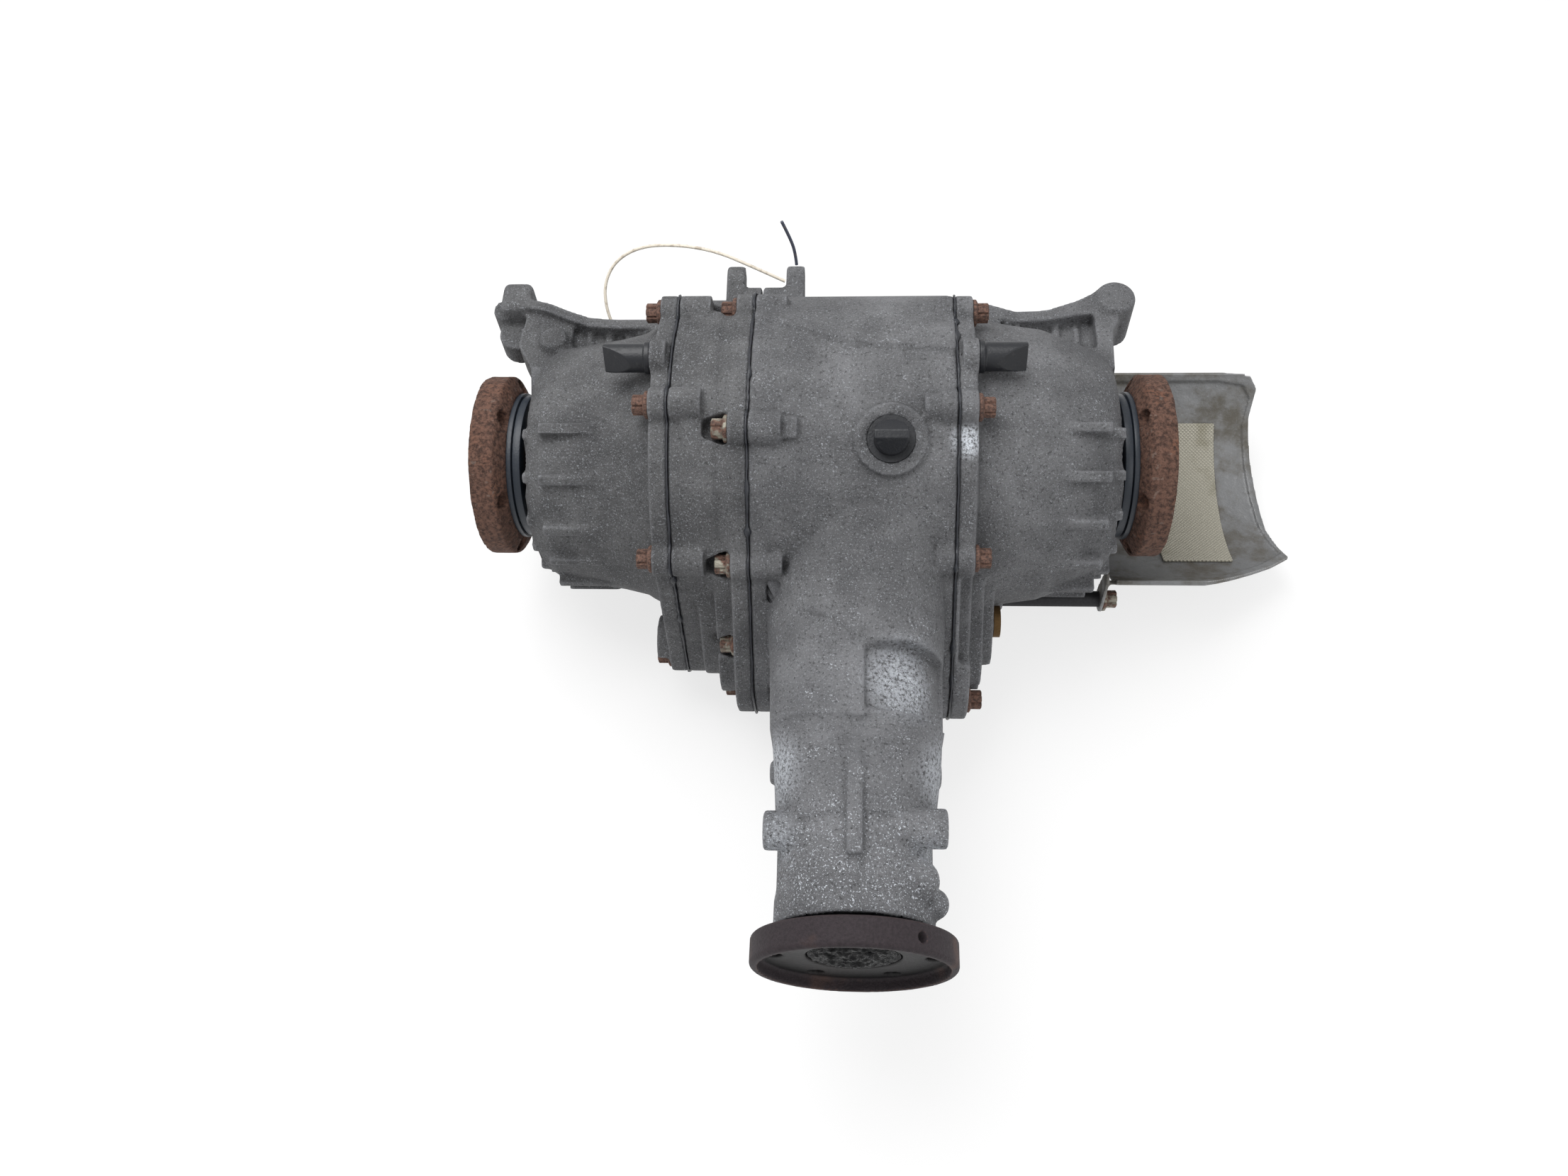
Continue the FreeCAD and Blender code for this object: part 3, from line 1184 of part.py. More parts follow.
def build():
    nodes = {}
    nodes["main_housing"] = main_housing()
    nodes["intermediate_housing"] = intermediate_housing()
    nodes["left_cover"] = left_cover()
    nodes["right_cover"] = right_cover()
    left_lobe = (left_lobe_y, left_lobe_z, left_lobe_r)
    big_lobe = (lobe_y, lobe_z, lobe_r)
    right_lobe = (right_lobe_y, lobe_z, lobe_r)
    nodes["left_seam_sealant"] = sealant(left_seam_x, left_lobe, left_places, body_r - wall - 5.0)
    nodes["middle_seam_sealant"] = sealant(middle_seam_x, big_lobe, middle_places, body_r - wall + 0.5)
    nodes["right_seam_sealant"] = sealant(right_seam_x, right_lobe, right_places, body_r - wall + 0.5)
    left_head = left_seam_x - sealant_t / 2 - flange_t
    middle_head = middle_seam_x - sealant_t / 2 - middle_flange_t
    right_head = right_seam_x + sealant_t / 2 + flange_t
    nodes["left_cover_bolts"] = bolt_group(left_places, left_head, -1)
    nodes["intermediate_housing_bolts"] = bolt_group(middle_places, middle_head, -1)
    nodes["right_cover_bolts"] = bolt_group(right_places, right_head, 1)
    cap_left_x = left_seam_x - sealant_t / 2 - flange_t - 1.0
    cap_right_x = right_seam_x + sealant_t / 2 + flange_t + 1.0
    nodes["left_vent_cap"] = vent_cap(cap_left_x, -1)
    nodes["right_vent_cap"] = vent_cap(cap_right_x, 1)
    ring, cap, nipple = centre_vent_pieces()
    nodes["centre_vent_ring"] = ring
    nodes["centre_vent_cap"] = cap
    nodes["vent_nipples"] = Part.makeCompound([nipple, side_nipple(cap_left_x, -1),
                                               side_nipple(cap_right_x, 1)])
    plugs = [plug(place, out) for place, out in plug_places]
    level_x = right_seam_x + sealant_t / 2 + level_plug_reach
    plugs.append(plug(Vector(level_x, level_plug_y, level_plug_z), Vector(1, 0, 0)))
    nodes["oil_plugs"] = Part.makeCompound(plugs)
    nodes["heat_shield"] = heat_shield()
    nodes["heat_shield_pad"] = heat_shield_pad()
    nodes["heat_shield_standoffs"] = shield_standoffs()
    nodes["heat_shield_bolts"] = shield_bolts()
    nodes["tie_wire"] = wire_tube(tie_wire_points, wire_d)
    nodes["wire_stub"] = wire_tube(wire_stub_points, wire_d)

    nodes["pinion_shaft"] = pinion_shaft()
    nodes["input_flange"] = input_flange()
    nodes["pinion_nut"] = pinion_nut()
    nodes["pinion_spacer"] = ring_y(pinion_stem_r, pinion_stem_r + 3.0,
                                    -head_bearing_y - head_bearing_w, -tail_bearing_y)
    head_cup, head_cone, tail_cup, tail_cone = pinion_bearings()
    nodes["pinion_bearing_cups"] = Part.makeCompound([head_cup, tail_cup])
    nodes["pinion_bearing_cones"] = Part.makeCompound([head_cone, tail_cone])
    nodes["pinion_seal"] = ring_y(input_hub_r + run, input_seal_r, -270.0, nose_end_y + 0.5)

    nodes["ring_gear"] = ring_gear()
    nodes["ring_gear_bolts"] = ring_bolts()
    nodes["diff_case"] = diff_case()
    nodes["cross_pin"] = Part.makeCylinder(cross_pin_r, 2 * case_r - 4, Vector(0, 0, -case_r + 2))
    left_cup, left_cone = bearing_pair(case_neck_r, case_bearing_r, -right_bearing_x - case_bearing_w,
                                       -right_bearing_x)
    left_cup.translate(Vector(left_bearing_x + right_bearing_x + case_bearing_w, 0, 0))
    left_cone.translate(Vector(left_bearing_x + right_bearing_x + case_bearing_w, 0, 0))
    right_cup, right_cone = bearing_pair(case_neck_r, case_bearing_r, right_bearing_x,
                                         right_bearing_x + case_bearing_w)
    nodes["case_bearing_cups"] = Part.makeCompound([left_cup, right_cup])
    nodes["case_bearing_cones"] = Part.makeCompound([left_cone, right_cone])
    nodes["upper_spider_gear"] = spider_gear(1)
    nodes["lower_spider_gear"] = spider_gear(-1)

    cups = []
    for name, side, face, x0, length in (("left", -1, left_face_x, left_basket_x, left_basket_len),
                                         ("right", 1, right_face_x, right_basket_x, right_basket_len)):
        nodes[name + "_side_gear"] = side_gear(side)
        nodes[name + "_output_shaft"] = output_shaft(side)
        nodes[name + "_output_flange"] = output_flange(face, side)
        nodes[name + "_dust_ring"] = dust_rings(face, side)
        nodes[name + "_clutch_basket"] = clutch_basket(x0, side, length)
        nodes[name + "_clutch_hub"] = clutch_hub(x0, side, length)
        steels, linings = clutch_plates(x0, side)
        nodes[name + "_steel_plates"] = steels
        nodes[name + "_lined_plates"] = linings
        nodes[name + "_clutch_piston"] = piston(side)
        end = inner_end(side)
        x_from, x_to = min(end, end + side * output_bearing_w), max(end, end + side * output_bearing_w)
        outer, inner = bearing_pair(output_hub_r, output_bearing_r, x_from, x_to)
        cups.append(outer)
        nodes[name + "_output_bearing_cone"] = inner
    nodes["output_bearing_cups"] = Part.makeCompound(cups)
    nodes["output_seals"] = Part.makeCompound([output_seal(-1), output_seal(1)])
    return nodes


os.makedirs("parts", exist_ok=True)
for node_name, node_shape in build().items():
    placed_shape = node_shape.copy()
    placed_shape.translate(origin_shift)
    if not placed_shape.isValid():
        print("invalid", node_name)
    placed_shape.exportStep("parts/" + node_name + ".step")
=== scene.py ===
"""The looks of a rear differential, built round its construction model.

Lengths are in millimetres about the point where the output axis (X) meets the pinion
axis (Y), and at() takes them to metres in the model's own frame.
"""

import json
import math

import bpy
import numpy as np
from bpy.props import FloatProperty, FloatVectorProperty, IntProperty, PointerProperty
from mathutils import Matrix, Vector, noise
from mathutils.bvhtree import BVHTree


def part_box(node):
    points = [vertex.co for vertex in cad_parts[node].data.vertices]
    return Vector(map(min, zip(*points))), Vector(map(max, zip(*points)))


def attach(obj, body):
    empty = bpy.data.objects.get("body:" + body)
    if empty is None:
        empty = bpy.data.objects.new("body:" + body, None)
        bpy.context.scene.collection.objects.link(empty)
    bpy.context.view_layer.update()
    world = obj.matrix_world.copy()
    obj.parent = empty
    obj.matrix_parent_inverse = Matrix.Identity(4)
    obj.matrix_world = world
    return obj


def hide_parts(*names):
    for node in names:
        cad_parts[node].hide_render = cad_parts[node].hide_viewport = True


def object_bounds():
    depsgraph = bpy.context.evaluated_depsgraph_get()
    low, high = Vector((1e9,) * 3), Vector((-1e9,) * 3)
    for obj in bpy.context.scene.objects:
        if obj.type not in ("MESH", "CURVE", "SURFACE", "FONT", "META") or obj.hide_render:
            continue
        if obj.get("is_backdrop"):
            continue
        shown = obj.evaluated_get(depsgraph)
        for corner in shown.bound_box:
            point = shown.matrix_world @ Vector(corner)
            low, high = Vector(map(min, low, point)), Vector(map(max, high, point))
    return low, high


bl_info = {
    "name": "Rear differential",
    "version": (1, 0, 0),
    "blender": (4, 5, 0),
    "location": "View3D > Sidebar > Differential",
    "description": "Builds the finish and fine detail of a rear differential",
    "category": "Object",
}

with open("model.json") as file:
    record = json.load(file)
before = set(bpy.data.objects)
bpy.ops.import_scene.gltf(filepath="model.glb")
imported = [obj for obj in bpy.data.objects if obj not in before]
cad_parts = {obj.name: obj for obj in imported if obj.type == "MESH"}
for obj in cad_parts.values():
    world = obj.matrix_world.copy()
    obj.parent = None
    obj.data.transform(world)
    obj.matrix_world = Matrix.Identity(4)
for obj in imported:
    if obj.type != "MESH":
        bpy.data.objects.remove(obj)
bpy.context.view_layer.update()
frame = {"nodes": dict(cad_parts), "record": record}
nodes = frame["nodes"]

MM = 0.001


def middle(node):
    """The middle of a node's box, in metres."""
    low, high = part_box(node)
    return (low + high) / 2


crossing = middle("cross_pin")


def at(x, y, z):
    """A point given in millimetres from the crossing of the two axes, in metres."""
    return crossing + Vector((x, y, z)) * MM


def srgb(red, green, blue):
    """A colour as it is seen, from 0 to 255, as the linear values that shaders take."""
    def linear(level):
        share = level / 255
        return share / 12.92 if share <= 0.04045 else ((share + 0.055) / 1.055) ** 2.4
    return tuple(linear(level) for level in (red, green, blue))


def colour(name, description, *levels):
    return FloatVectorProperty(name=name, description=description, default=srgb(*levels),
                               subtype="COLOR", min=0, max=1)


def length(name, description, default):
    return FloatProperty(name=name, description=description, default=default * MM,
                         unit="LENGTH", subtype="DISTANCE", min=0, precision=4)


class DIFF_PG_castings(bpy.types.PropertyGroup):
    """Sizes and colours of the four aluminium castings."""
    voxel: length("Voxel", "Size of the cells that the cast skin is made of", 1.4)
    fillet_rounds: IntProperty(name="Fillet rounds", description="How far cast edges are rounded",
                               default=2, min=0)
    inner_share: FloatProperty(name="Inner share", description="Share of faces kept inside",
                               default=0.55, min=0.05, max=1)
    dark: colour("Dark grey", "Grime on the castings", 50, 50, 51)
    grey: colour("Grey", "The castings' usual colour", 94, 94, 94)
    pale: colour("Pale grey", "Cleaner metal on the nose", 132, 133, 137)
    oxide: colour("Oxide", "White salt and oxide flecks", 204, 209, 216)


class DIFF_PG_fittings(bpy.types.PropertyGroup):
    """Sizes and colours of everything bolted, pressed or fitted to the castings."""
    sealant: colour("Sealant", "Squeezed-out sealant", 26, 28, 33)
    rubber: colour("Rubber", "Vent caps", 20, 22, 27)
    slinger: colour("Slinger", "Black rings behind the flanges", 34, 41, 50)
    rust_dark: colour("Dark rust", "Brown scale", 58, 42, 36)
    rust: colour("Rust", "Rusty forging", 108, 80, 68)
    rust_bright: colour("Bright rust", "Orange rust", 138, 84, 54)
    forging: colour("Forging", "The input flange's dark scale", 50, 42, 46)
    zinc: colour("Zinc", "Bare plating on the bolts", 140, 136, 124)
    shield: colour("Shield", "Bright aluminium sheet", 118, 119, 120)
    shield_stain: colour("Shield stain", "Dull stains on the shield", 86, 80, 68)
    mat: colour("Mat", "Woven glass pad", 184, 180, 165)
    grease: colour("Grease", "Old grease in the input flange", 7, 8, 10)
    wire_white: colour("White wire", "Tie wire", 206, 198, 184)
    wire_dark: colour("Dark wire", "Cut wire end", 70, 74, 88)
    standoff: colour("Standoff", "Dark plating on the shield's standoffs", 62, 62, 64)
    bronze: colour("Bronze", "Oil plugs", 112, 88, 58)
    steel: colour("Steel", "Gears and shafts inside", 120, 120, 124)
    lining: colour("Lining", "Friction lining", 88, 74, 58)
    wire_diameter: length("Wire", "Diameter of both wires", 2.0)


class DIFF_PG_stage(bpy.types.PropertyGroup):
    """Camera, lamps and floor."""
    azimuth: FloatProperty(name="Azimuth", description="Camera's bearing", unit="ROTATION",
                           default=math.radians(7.05))
    elevation: FloatProperty(name="Elevation", description="Camera's height angle", unit="ROTATION",
                             default=math.radians(60.66))
    roll: FloatProperty(name="Roll", description="Camera's lean", unit="ROTATION",
                        default=math.radians(-5.76))
    lens: FloatProperty(name="Lens", description="Focal length in millimetres", default=28.79)
    floor: colour("Floor", "Pale floor", 240, 240, 240)
    sky: FloatProperty(name="Sky", description="Strength of the even light", default=0.75)
    key: FloatProperty(name="Key lamp", description="Power of the main soft lamp in watts",
                       default=14)
    fill: FloatProperty(name="Fill lamp", description="Power of the side lamp in watts", default=4)


# Socket arithmetic for materials

class Sock:
    """A node's output, or a number, on which Python's operators build Math nodes."""

    def __init__(self, paint, socket):
        self.paint = paint
        self.socket = socket

    def __add__(self, other):
        return self.paint.math("ADD", self, other)

    def __radd__(self, other):
        return self.paint.math("ADD", other, self)

    def __sub__(self, other):
        return self.paint.math("SUBTRACT", self, other)

    def __rsub__(self, other):
        return self.paint.math("SUBTRACT", other, self)

    def __mul__(self, other):
        return self.paint.math("MULTIPLY", self, other)

    def __rmul__(self, other):
        return self.paint.math("MULTIPLY", other, self)


class Paint:
    """One procedural material."""

    def __init__(self, name):
        self.material = bpy.data.materials.new(name)
        self.material.use_nodes = True
        self.tree = self.material.node_tree
        self.tree.nodes.clear()
        output = self.tree.nodes.new("ShaderNodeOutputMaterial")
        self.shader = self.tree.nodes.new("ShaderNodeBsdfPrincipled")
        self.tree.links.new(self.shader.outputs[0], output.inputs[0])
        self.place = self.node("TexCoord", out="Object")

    def node(self, kind, settings=None, out=0, **sockets):
        """A node by type, with its settings and the values or links of its sockets."""
        made = self.tree.nodes.new("ShaderNode" + kind)
        for key, value in (settings or {}).items():
            setattr(made, key, value)
        for key, value in sockets.items():
            index = int(key[1:]) if key[0] == "i" and key[1:].isdigit() else key.replace("_", " ")
            self.feed(made.inputs[index], value)
        return Sock(self, made.outputs[out])

    def feed(self, socket, value):
        if isinstance(value, Sock):
            self.tree.links.new(value.socket, socket)
        elif socket.type == "RGBA" and len(value) == 3:
            socket.default_value = (*value, 1)
        else:
            socket.default_value = value

    def math(self, operation, first, second=0.0, third=0.0):
        return self.node("Math", {"operation": operation}, i0=first, i1=second, i2=third)

    def vector(self, operation, first, second=(0, 0, 0), out=0):
        return self.node("VectorMath", {"operation": operation}, out, i0=first, i1=second)

    def step(self, value, start, end):
        """0 before start, 1 after end and smooth between them."""
        return self.node("MapRange", {"interpolation_type": "SMOOTHSTEP"},
                         Value=value, From_Min=start, From_Max=end)

    def noise(self, scale, detail=3.0, rough=0.5, where=None):
        return self.node("TexNoise", Vector=where or self.place, Scale=scale, Detail=detail,
                         Roughness=rough)

    def cells(self, scale, where=None, feature="F1"):
        return self.node("TexVoronoi", {"feature": feature}, Vector=where or self.place,
                         Scale=scale)

    def mix(self, share, first, second):
        return self.node("Mix", {"data_type": "RGBA"}, 2, i0=share, i6=first, i7=second)

    def axis(self, name):
        return self.node("SeparateXYZ", out=name, Vector=self.place)

    def near(self, point, reach):
        """1 at a point, falling to 0 at a distance, both in metres."""
        away = self.vector("DISTANCE", self.place, tuple(point), out=1)
        return 1 - self.step(away, reach * 0.25, reach)

    def edges(self, low, high):
        """1 on worn outer edges of a fine mesh."""
        return self.step(self.node("NewGeometry", out="Pointiness"), low, high)

    def bump(self, height, depth, before=None):
        extra = {"Normal": before} if before else {}
        return self.node("Bump", Height=height, Strength=1.0, Distance=depth, **extra)

    def finish(self, **sockets):
        """Sets the shader's own sockets and gives the material back."""
        for key, value in sockets.items():
            self.feed(self.shader.inputs[key.replace("_", " ")], value)
        return self.material


def cast_aluminium(colours, name, cleaner):
    """Weathered sand-cast aluminium: grime, fine sparkle, white oxide on the nose, and grime with
    painted shade in its creases.

    cleaner is how much of the metal shows through the grime, from 0 to 1.
    """
    paint = Paint(name)
    clouds = paint.noise(26, 5, 0.6)
    grain = paint.noise(620, 4, 0.7)
    sand = paint.noise(1500, 2, 0.6)
    y = paint.axis("Y")
    nose = 1 - paint.step(y, crossing.y - 0.175, crossing.y - 0.100)
    tip = 1 - paint.step(y, crossing.y - 0.262, crossing.y - 0.205)
    base = paint.mix(paint.step(clouds, 0.25, 0.80), colours.dark, colours.grey)
    clean = (0.30 + 0.35 * paint.step(clouds + 0.25 * grain, 0.50, 0.95)) * cleaner + nose * 0.16
    base = paint.mix(clean, base, colours.pale)
    dark_specks = 1 - paint.step(grain, 0.34, 0.46)
    base = paint.mix(dark_specks * 0.75, base, colours.dark)
    light_specks = paint.step(sand, 0.58, 0.72)
    base = paint.mix(light_specks * 0.6, base, colours.pale)
    patches = paint.step(paint.noise(75, 4, 0.65), 0.50, 0.66)
    flecks = paint.step(paint.noise(980, 3, 0.7), 0.57, 0.64)
    salt = flecks * (0.20 + patches * (0.20 + 0.40 * nose) + tip * 0.60)
    for place, reach, amount in oxide_places():
        salt = salt + paint.near(place, reach) * paint.step(grain, 0.36, 0.60) * amount
    base = paint.mix(paint.math("MINIMUM", salt, 1.0), base, colours.oxide)
    worn = paint.edges(0.515, 0.56)
    base = paint.mix(worn * 0.35, base, colours.pale)
    # grime and painted shade: concave creases, found by low pointiness, are darkened towards a deep
    # grey, standing in for the shade that falls in them
    grime_and_shade = 1 - paint.edges(0.43, 0.495)
    base = paint.mix(grime_and_shade * 0.65, base, tuple(0.45 * level for level in colours.dark))
    rough = 0.62 + 0.22 * clouds - 0.12 * light_specks
    skin = paint.bump(paint.noise(330, 5, 0.7), 0.0011)
    skin = paint.bump(sand, 0.0005, skin)
    return paint.finish(Base_Color=base, Roughness=rough, Metallic=0.25, Normal=skin,
                        Specular_IOR_Level=0.35)


def oxide_places():
    """Where white oxide has bloomed: a point, how far it reaches in metres and how much."""
    return ((at(27, -162, 42), 0.030, 0.55), (at(-38, -205, 22), 0.026, 0.55),
            (at(40, -205, 20), 0.024, 0.5), (at(38, -242, 22), 0.018, 0.45),
            (at(-38, -240, 20), 0.016, 0.6), (at(58, -26, 93), 0.010, 0.9),
            (at(58, -44, 86), 0.012, 0.9))


def rust_scale(colours, name, brightness):
    """Thick brown scale with orange patches and dark pits."""
    paint = Paint(name)
    clouds = paint.noise(45, 5, 0.6)
    grain = paint.noise(420, 5, 0.75)
    base = paint.mix(paint.step(grain, 0.35, 0.62), colours.rust_dark, colours.rust)
    orange = paint.step(clouds, 0.52, 0.72) * paint.step(grain, 0.42, 0.6)
    base = paint.mix(orange * brightness, base, colours.rust_bright)
    chips = paint.step(paint.noise(260, 2, 0.4), 0.66, 0.72)
    base = paint.mix(chips * 0.2, base, srgb(150, 140, 132))
    pits = paint.cells(380)
    skin = paint.bump(grain, 0.0016)
    skin = paint.bump(pits, 0.0006, skin)
    return paint.finish(Base_Color=base, Roughness=0.82 + 0.12 * grain, Normal=skin,
                        Specular_IOR_Level=0.3)


def dark_forging(colours, name):
    """The input flange's purple-brown scale, worn a little on its edges."""
    paint = Paint(name)
    grain = paint.noise(700, 4, 0.7)
    clouds = paint.noise(38, 4)
    scale = tuple(0.55 * level for level in colours.forging)
    base = paint.mix(paint.step(grain, 0.3, 0.7), scale, colours.forging)
    base = paint.mix(paint.step(clouds, 0.55, 0.75) * 0.35, base, colours.rust)
    base = paint.mix(paint.edges(0.52, 0.57) * 0.4, base, colours.rust)
    away = paint.vector("DISTANCE", paint.place, tuple(at(0, -296, 0)), out=1)
    oily = 1 - paint.step(away, 0.0450, 0.0482)
    base = paint.mix(oily * 0.92, base, colours.grease)
    skin = paint.bump(grain, 0.0007)
    return paint.finish(Base_Color=base, Roughness=0.55 + 0.2 * clouds - 0.2 * oily, Normal=skin,
                        Specular_IOR_Level=0.3)


def black_rubber(name, shade):
    paint = Paint(name)
    dust = paint.step(paint.noise(300, 5, 0.7), 0.55, 0.75)
    base = paint.mix(dust * 0.22, shade, srgb(96, 96, 94))
    skin = paint.bump(paint.noise(900, 3), 0.00015)
    return paint.finish(Base_Color=base, Roughness=0.42 + 0.3 * dust, Normal=skin,
                        Specular_IOR_Level=0.45)


def squeezed_sealant(colours):
    paint = Paint("squeezed_sealant")
    skin = paint.bump(paint.noise(420, 3), 0.0006)
    base = paint.mix(paint.noise(160, 3), colours.sealant, tuple(2.0 * c for c in colours.sealant))
    return paint.finish(Base_Color=base, Roughness=0.38, Normal=skin)


def bolt_finish(colours, name, rusted):
    """Plated steel, from bare zinc at 0 to brown rust at 1."""
    paint = Paint(name)
    grain = paint.noise(600, 4, 0.7)
    clouds = paint.noise(170, 3)
    rust = paint.mix(paint.step(grain, 0.35, 0.65), colours.rust_dark, colours.rust)
    share = paint.step(clouds + 0.3 * grain, 0.95 - 0.75 * rusted, 1.10 - 0.75 * rusted)
    base = paint.mix(share, colours.zinc, rust)
    skin = paint.bump(grain, 0.0006)
    return paint.finish(Base_Color=base, Roughness=0.45 + 0.4 * share, Metallic=0.55 * (1 - share),
                        Normal=skin)


def shield_sheet(colours):
    """Bright aluminium sheet: dull inside with stains, and polished by wear at its edges."""
    paint = Paint("shield_sheet")
    clouds = paint.noise(30, 5, 0.6)
    smear = paint.noise(120, 5, 0.7)
    grain = paint.noise(900, 3, 0.7)
    stain = paint.step(clouds + 0.2 * smear, 0.50, 0.78)
    base = paint.mix(stain * 0.75, colours.shield, colours.shield_stain)
    base = paint.mix(paint.step(grain, 0.55, 0.75) * 0.25, base, srgb(168, 170, 173))
    base = paint.mix(paint.edges(0.52, 0.60) * 0.6, base, srgb(196, 196, 196))
    skin = paint.bump(paint.noise(90, 4), 0.0014)
    skin = paint.bump(grain, 0.00025, skin)
    return paint.finish(Base_Color=base, Roughness=0.46 + 0.25 * stain + 0.1 * grain, Metallic=0.5,
                        Normal=skin)


def woven_mat(colours):
    """Coarse glass weave, its threads along the shield's axis and round its curve."""
    paint = Paint("woven_mat")
    thread = 1.2 * MM
    turn = math.pi / thread
    axis_point = at(0, 25.5, 8.9)
    y = paint.axis("Y") - axis_point.y
    z = paint.axis("Z") - axis_point.z
    round_way = paint.math("ARCTAN2", y, 0.0 - z) * (95.9 * MM)
    warp = paint.math("SINE", paint.axis("X") * turn)
    weft = paint.math("SINE", round_way * turn)
    weave = warp * weft
    ridge = paint.math("ABSOLUTE", warp) * 0.5 + paint.math("ABSOLUTE", weft) * 0.5
    grime = paint.step(paint.noise(45, 4), 0.50, 0.72)
    shaded = tuple(0.55 * level for level in colours.mat)
    base = paint.mix(paint.step(weave, -0.6, 0.6), shaded, colours.mat)
    base = paint.mix(grime * 0.5, base, srgb(104, 98, 72))
    skin = paint.bump(weave + ridge, 0.0004)
    return paint.finish(Base_Color=base, Roughness=0.85, Normal=skin)


def old_grease(colours):
    paint = Paint("old_grease")
    lumps = paint.noise(180, 5, 0.6)
    base = paint.mix(paint.step(lumps, 0.70, 0.85) * 0.4, colours.grease, srgb(30, 28, 26))
    skin = paint.bump(lumps, 0.004)
    return paint.finish(Base_Color=base, Roughness=0.12 + 0.25 * lumps, Normal=skin,
                        Specular_IOR_Level=0.12)


def machined_steel(name, shade, rough):
    paint = Paint(name)
    grain = paint.noise(800, 3)
    base = paint.mix(grain, shade, tuple(0.7 * level for level in shade))
    return paint.finish(Base_Color=base, Roughness=rough + 0.15 * grain, Metallic=0.85,
                        Normal=paint.bump(grain, 0.0001))


def friction_paper(colours):
    paint = Paint("friction_paper")
    fibre = paint.noise(1200, 4)
    base = paint.mix(fibre, colours.lining, tuple(0.6 * level for level in colours.lining))
    return paint.finish(Base_Color=base, Roughness=0.9, Normal=paint.bump(fibre, 0.0002))


def plain_wire(name, shade):
    paint = Paint(name)
    dirt = paint.step(paint.noise(260, 3), 0.5, 0.7)
    base = paint.mix(dirt * 0.5, shade, srgb(120, 104, 84))
    return paint.finish(Base_Color=base, Roughness=0.5)


# Modelling by operators

def pick(piece):
    """Leaves this one object selected and active."""
    bpy.ops.object.select_all(action="DESELECT")
    piece.select_set(True)
    bpy.context.view_layer.objects.active = piece


def add(kind, **settings):
    """A mesh primitive, and nothing else selected."""
    bpy.ops.object.select_all(action="DESELECT")
    getattr(bpy.ops.mesh, "primitive_" + kind + "_add")(**settings)
    return bpy.context.object


def edit(piece, chosen, work, mode="VERT"):
    """Selects elements by a test of their middles and runs the work on them in edit mode."""
    pick(piece)
    bpy.ops.object.mode_set(mode="EDIT")
    bpy.ops.mesh.select_mode(type=mode)
    bpy.ops.mesh.select_all(action="DESELECT")
    bpy.ops.object.mode_set(mode="OBJECT")
    data = piece.data
    if mode == "VERT":
        for vertex in data.vertices:
            vertex.select = bool(chosen(vertex.co))
    elif mode == "FACE":
        for face in data.polygons:
            face.select = bool(chosen(face.center, face.normal))
    else:
        for side in data.edges:
            ends = [data.vertices[i].co for i in side.vertices]
            side.select = bool(chosen(*ends))
    bpy.ops.object.mode_set(mode="EDIT")
    work()
    bpy.ops.object.mode_set(mode="OBJECT")


def modify(piece, kind, **settings):
    """Adds a modifier and applies it."""
    pick(piece)
    modifier = piece.modifiers.new(kind.title(), kind)
    for key, value in settings.items():
        setattr(modifier, key, value)
    bpy.ops.object.modifier_apply(modifier=modifier.name)


def settle(piece, name, material, body, replaced=()):
    """Names a finished piece, puts its place into its mesh and rides it on its body."""
    pick(piece)
    bpy.ops.object.transform_apply(location=True, rotation=True, scale=True)
    piece.name = name
    piece.data.name = name
    piece.data.materials.clear()
    piece.data.materials.append(material)
    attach(piece, body)
    for node in replaced:
        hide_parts(node)
    return piece


def outward(piece):
    edit(piece, lambda co: True, lambda: bpy.ops.mesh.normals_make_consistent(inside=False))


def join(pieces):
    bpy.ops.object.select_all(action="DESELECT")
    for piece in pieces:
        piece.select_set(True)
    bpy.context.view_layer.objects.active = pieces[0]
    bpy.ops.object.join()
    return pieces[0]


def node_copy(node):
    """A copy of a node's mesh with its loose triangles merged."""
    piece = bpy.data.objects.new(node + "_copy", nodes[node].data.copy())
    bpy.context.scene.collection.objects.link(piece)
    edit(piece, lambda co: True, lambda: bpy.ops.mesh.remove_doubles(threshold=2e-6))
    return piece


def skin_over(piece, voxel, rounds, factor=0.5):
    """Melts a piece's solids into one skin of small faces and rounds its edges."""
    modify(piece, "REMESH", mode="VOXEL", voxel_size=voxel)
    if rounds:
        modify(piece, "SMOOTH", factor=factor, iterations=rounds)
    pick(piece)
    bpy.ops.object.shade_smooth()
    return piece


def corners(piece):
    """The piece's vertices in millimetres about the crossing."""
    flat = np.empty(len(piece.data.vertices) * 3)
    piece.data.vertices.foreach_get("co", flat)
    return (flat.reshape(-1, 3) - np.array(crossing)) / MM


def smooth_share(value):
    share = np.clip(value, 0, 1)
    return share * share * (3 - 2 * share)


def line_share(points, path, half_width, soft):
    """1 along a path, falling to 0 over soft beyond its half width."""
    near = np.full(len(points), 1e9)
    for start, end in zip(path, path[1:]):
        a, b = np.array(start, float), np.array(end, float)
        way = b - a
        along = np.clip(((points - a) @ way) / (way @ way), 0, 1)
        near = np.minimum(near, np.linalg.norm(points - (a + along[:, None] * way), axis=1))
    return smooth_share(1 - (near - half_width) / soft)


def raise_by(piece, shares, height):
    """Moves a piece's vertices along their normals by their share of a height in millimetres."""
    group = piece.vertex_groups.new(name="raised")
    for index in np.nonzero(shares > 0.004)[0]:
        group.add([int(index)], float(shares[index]), "REPLACE")
    modify(piece, "DISPLACE", vertex_group="raised", strength=height * MM, mid_level=0)
    piece.vertex_groups.remove(piece.vertex_groups["raised"])


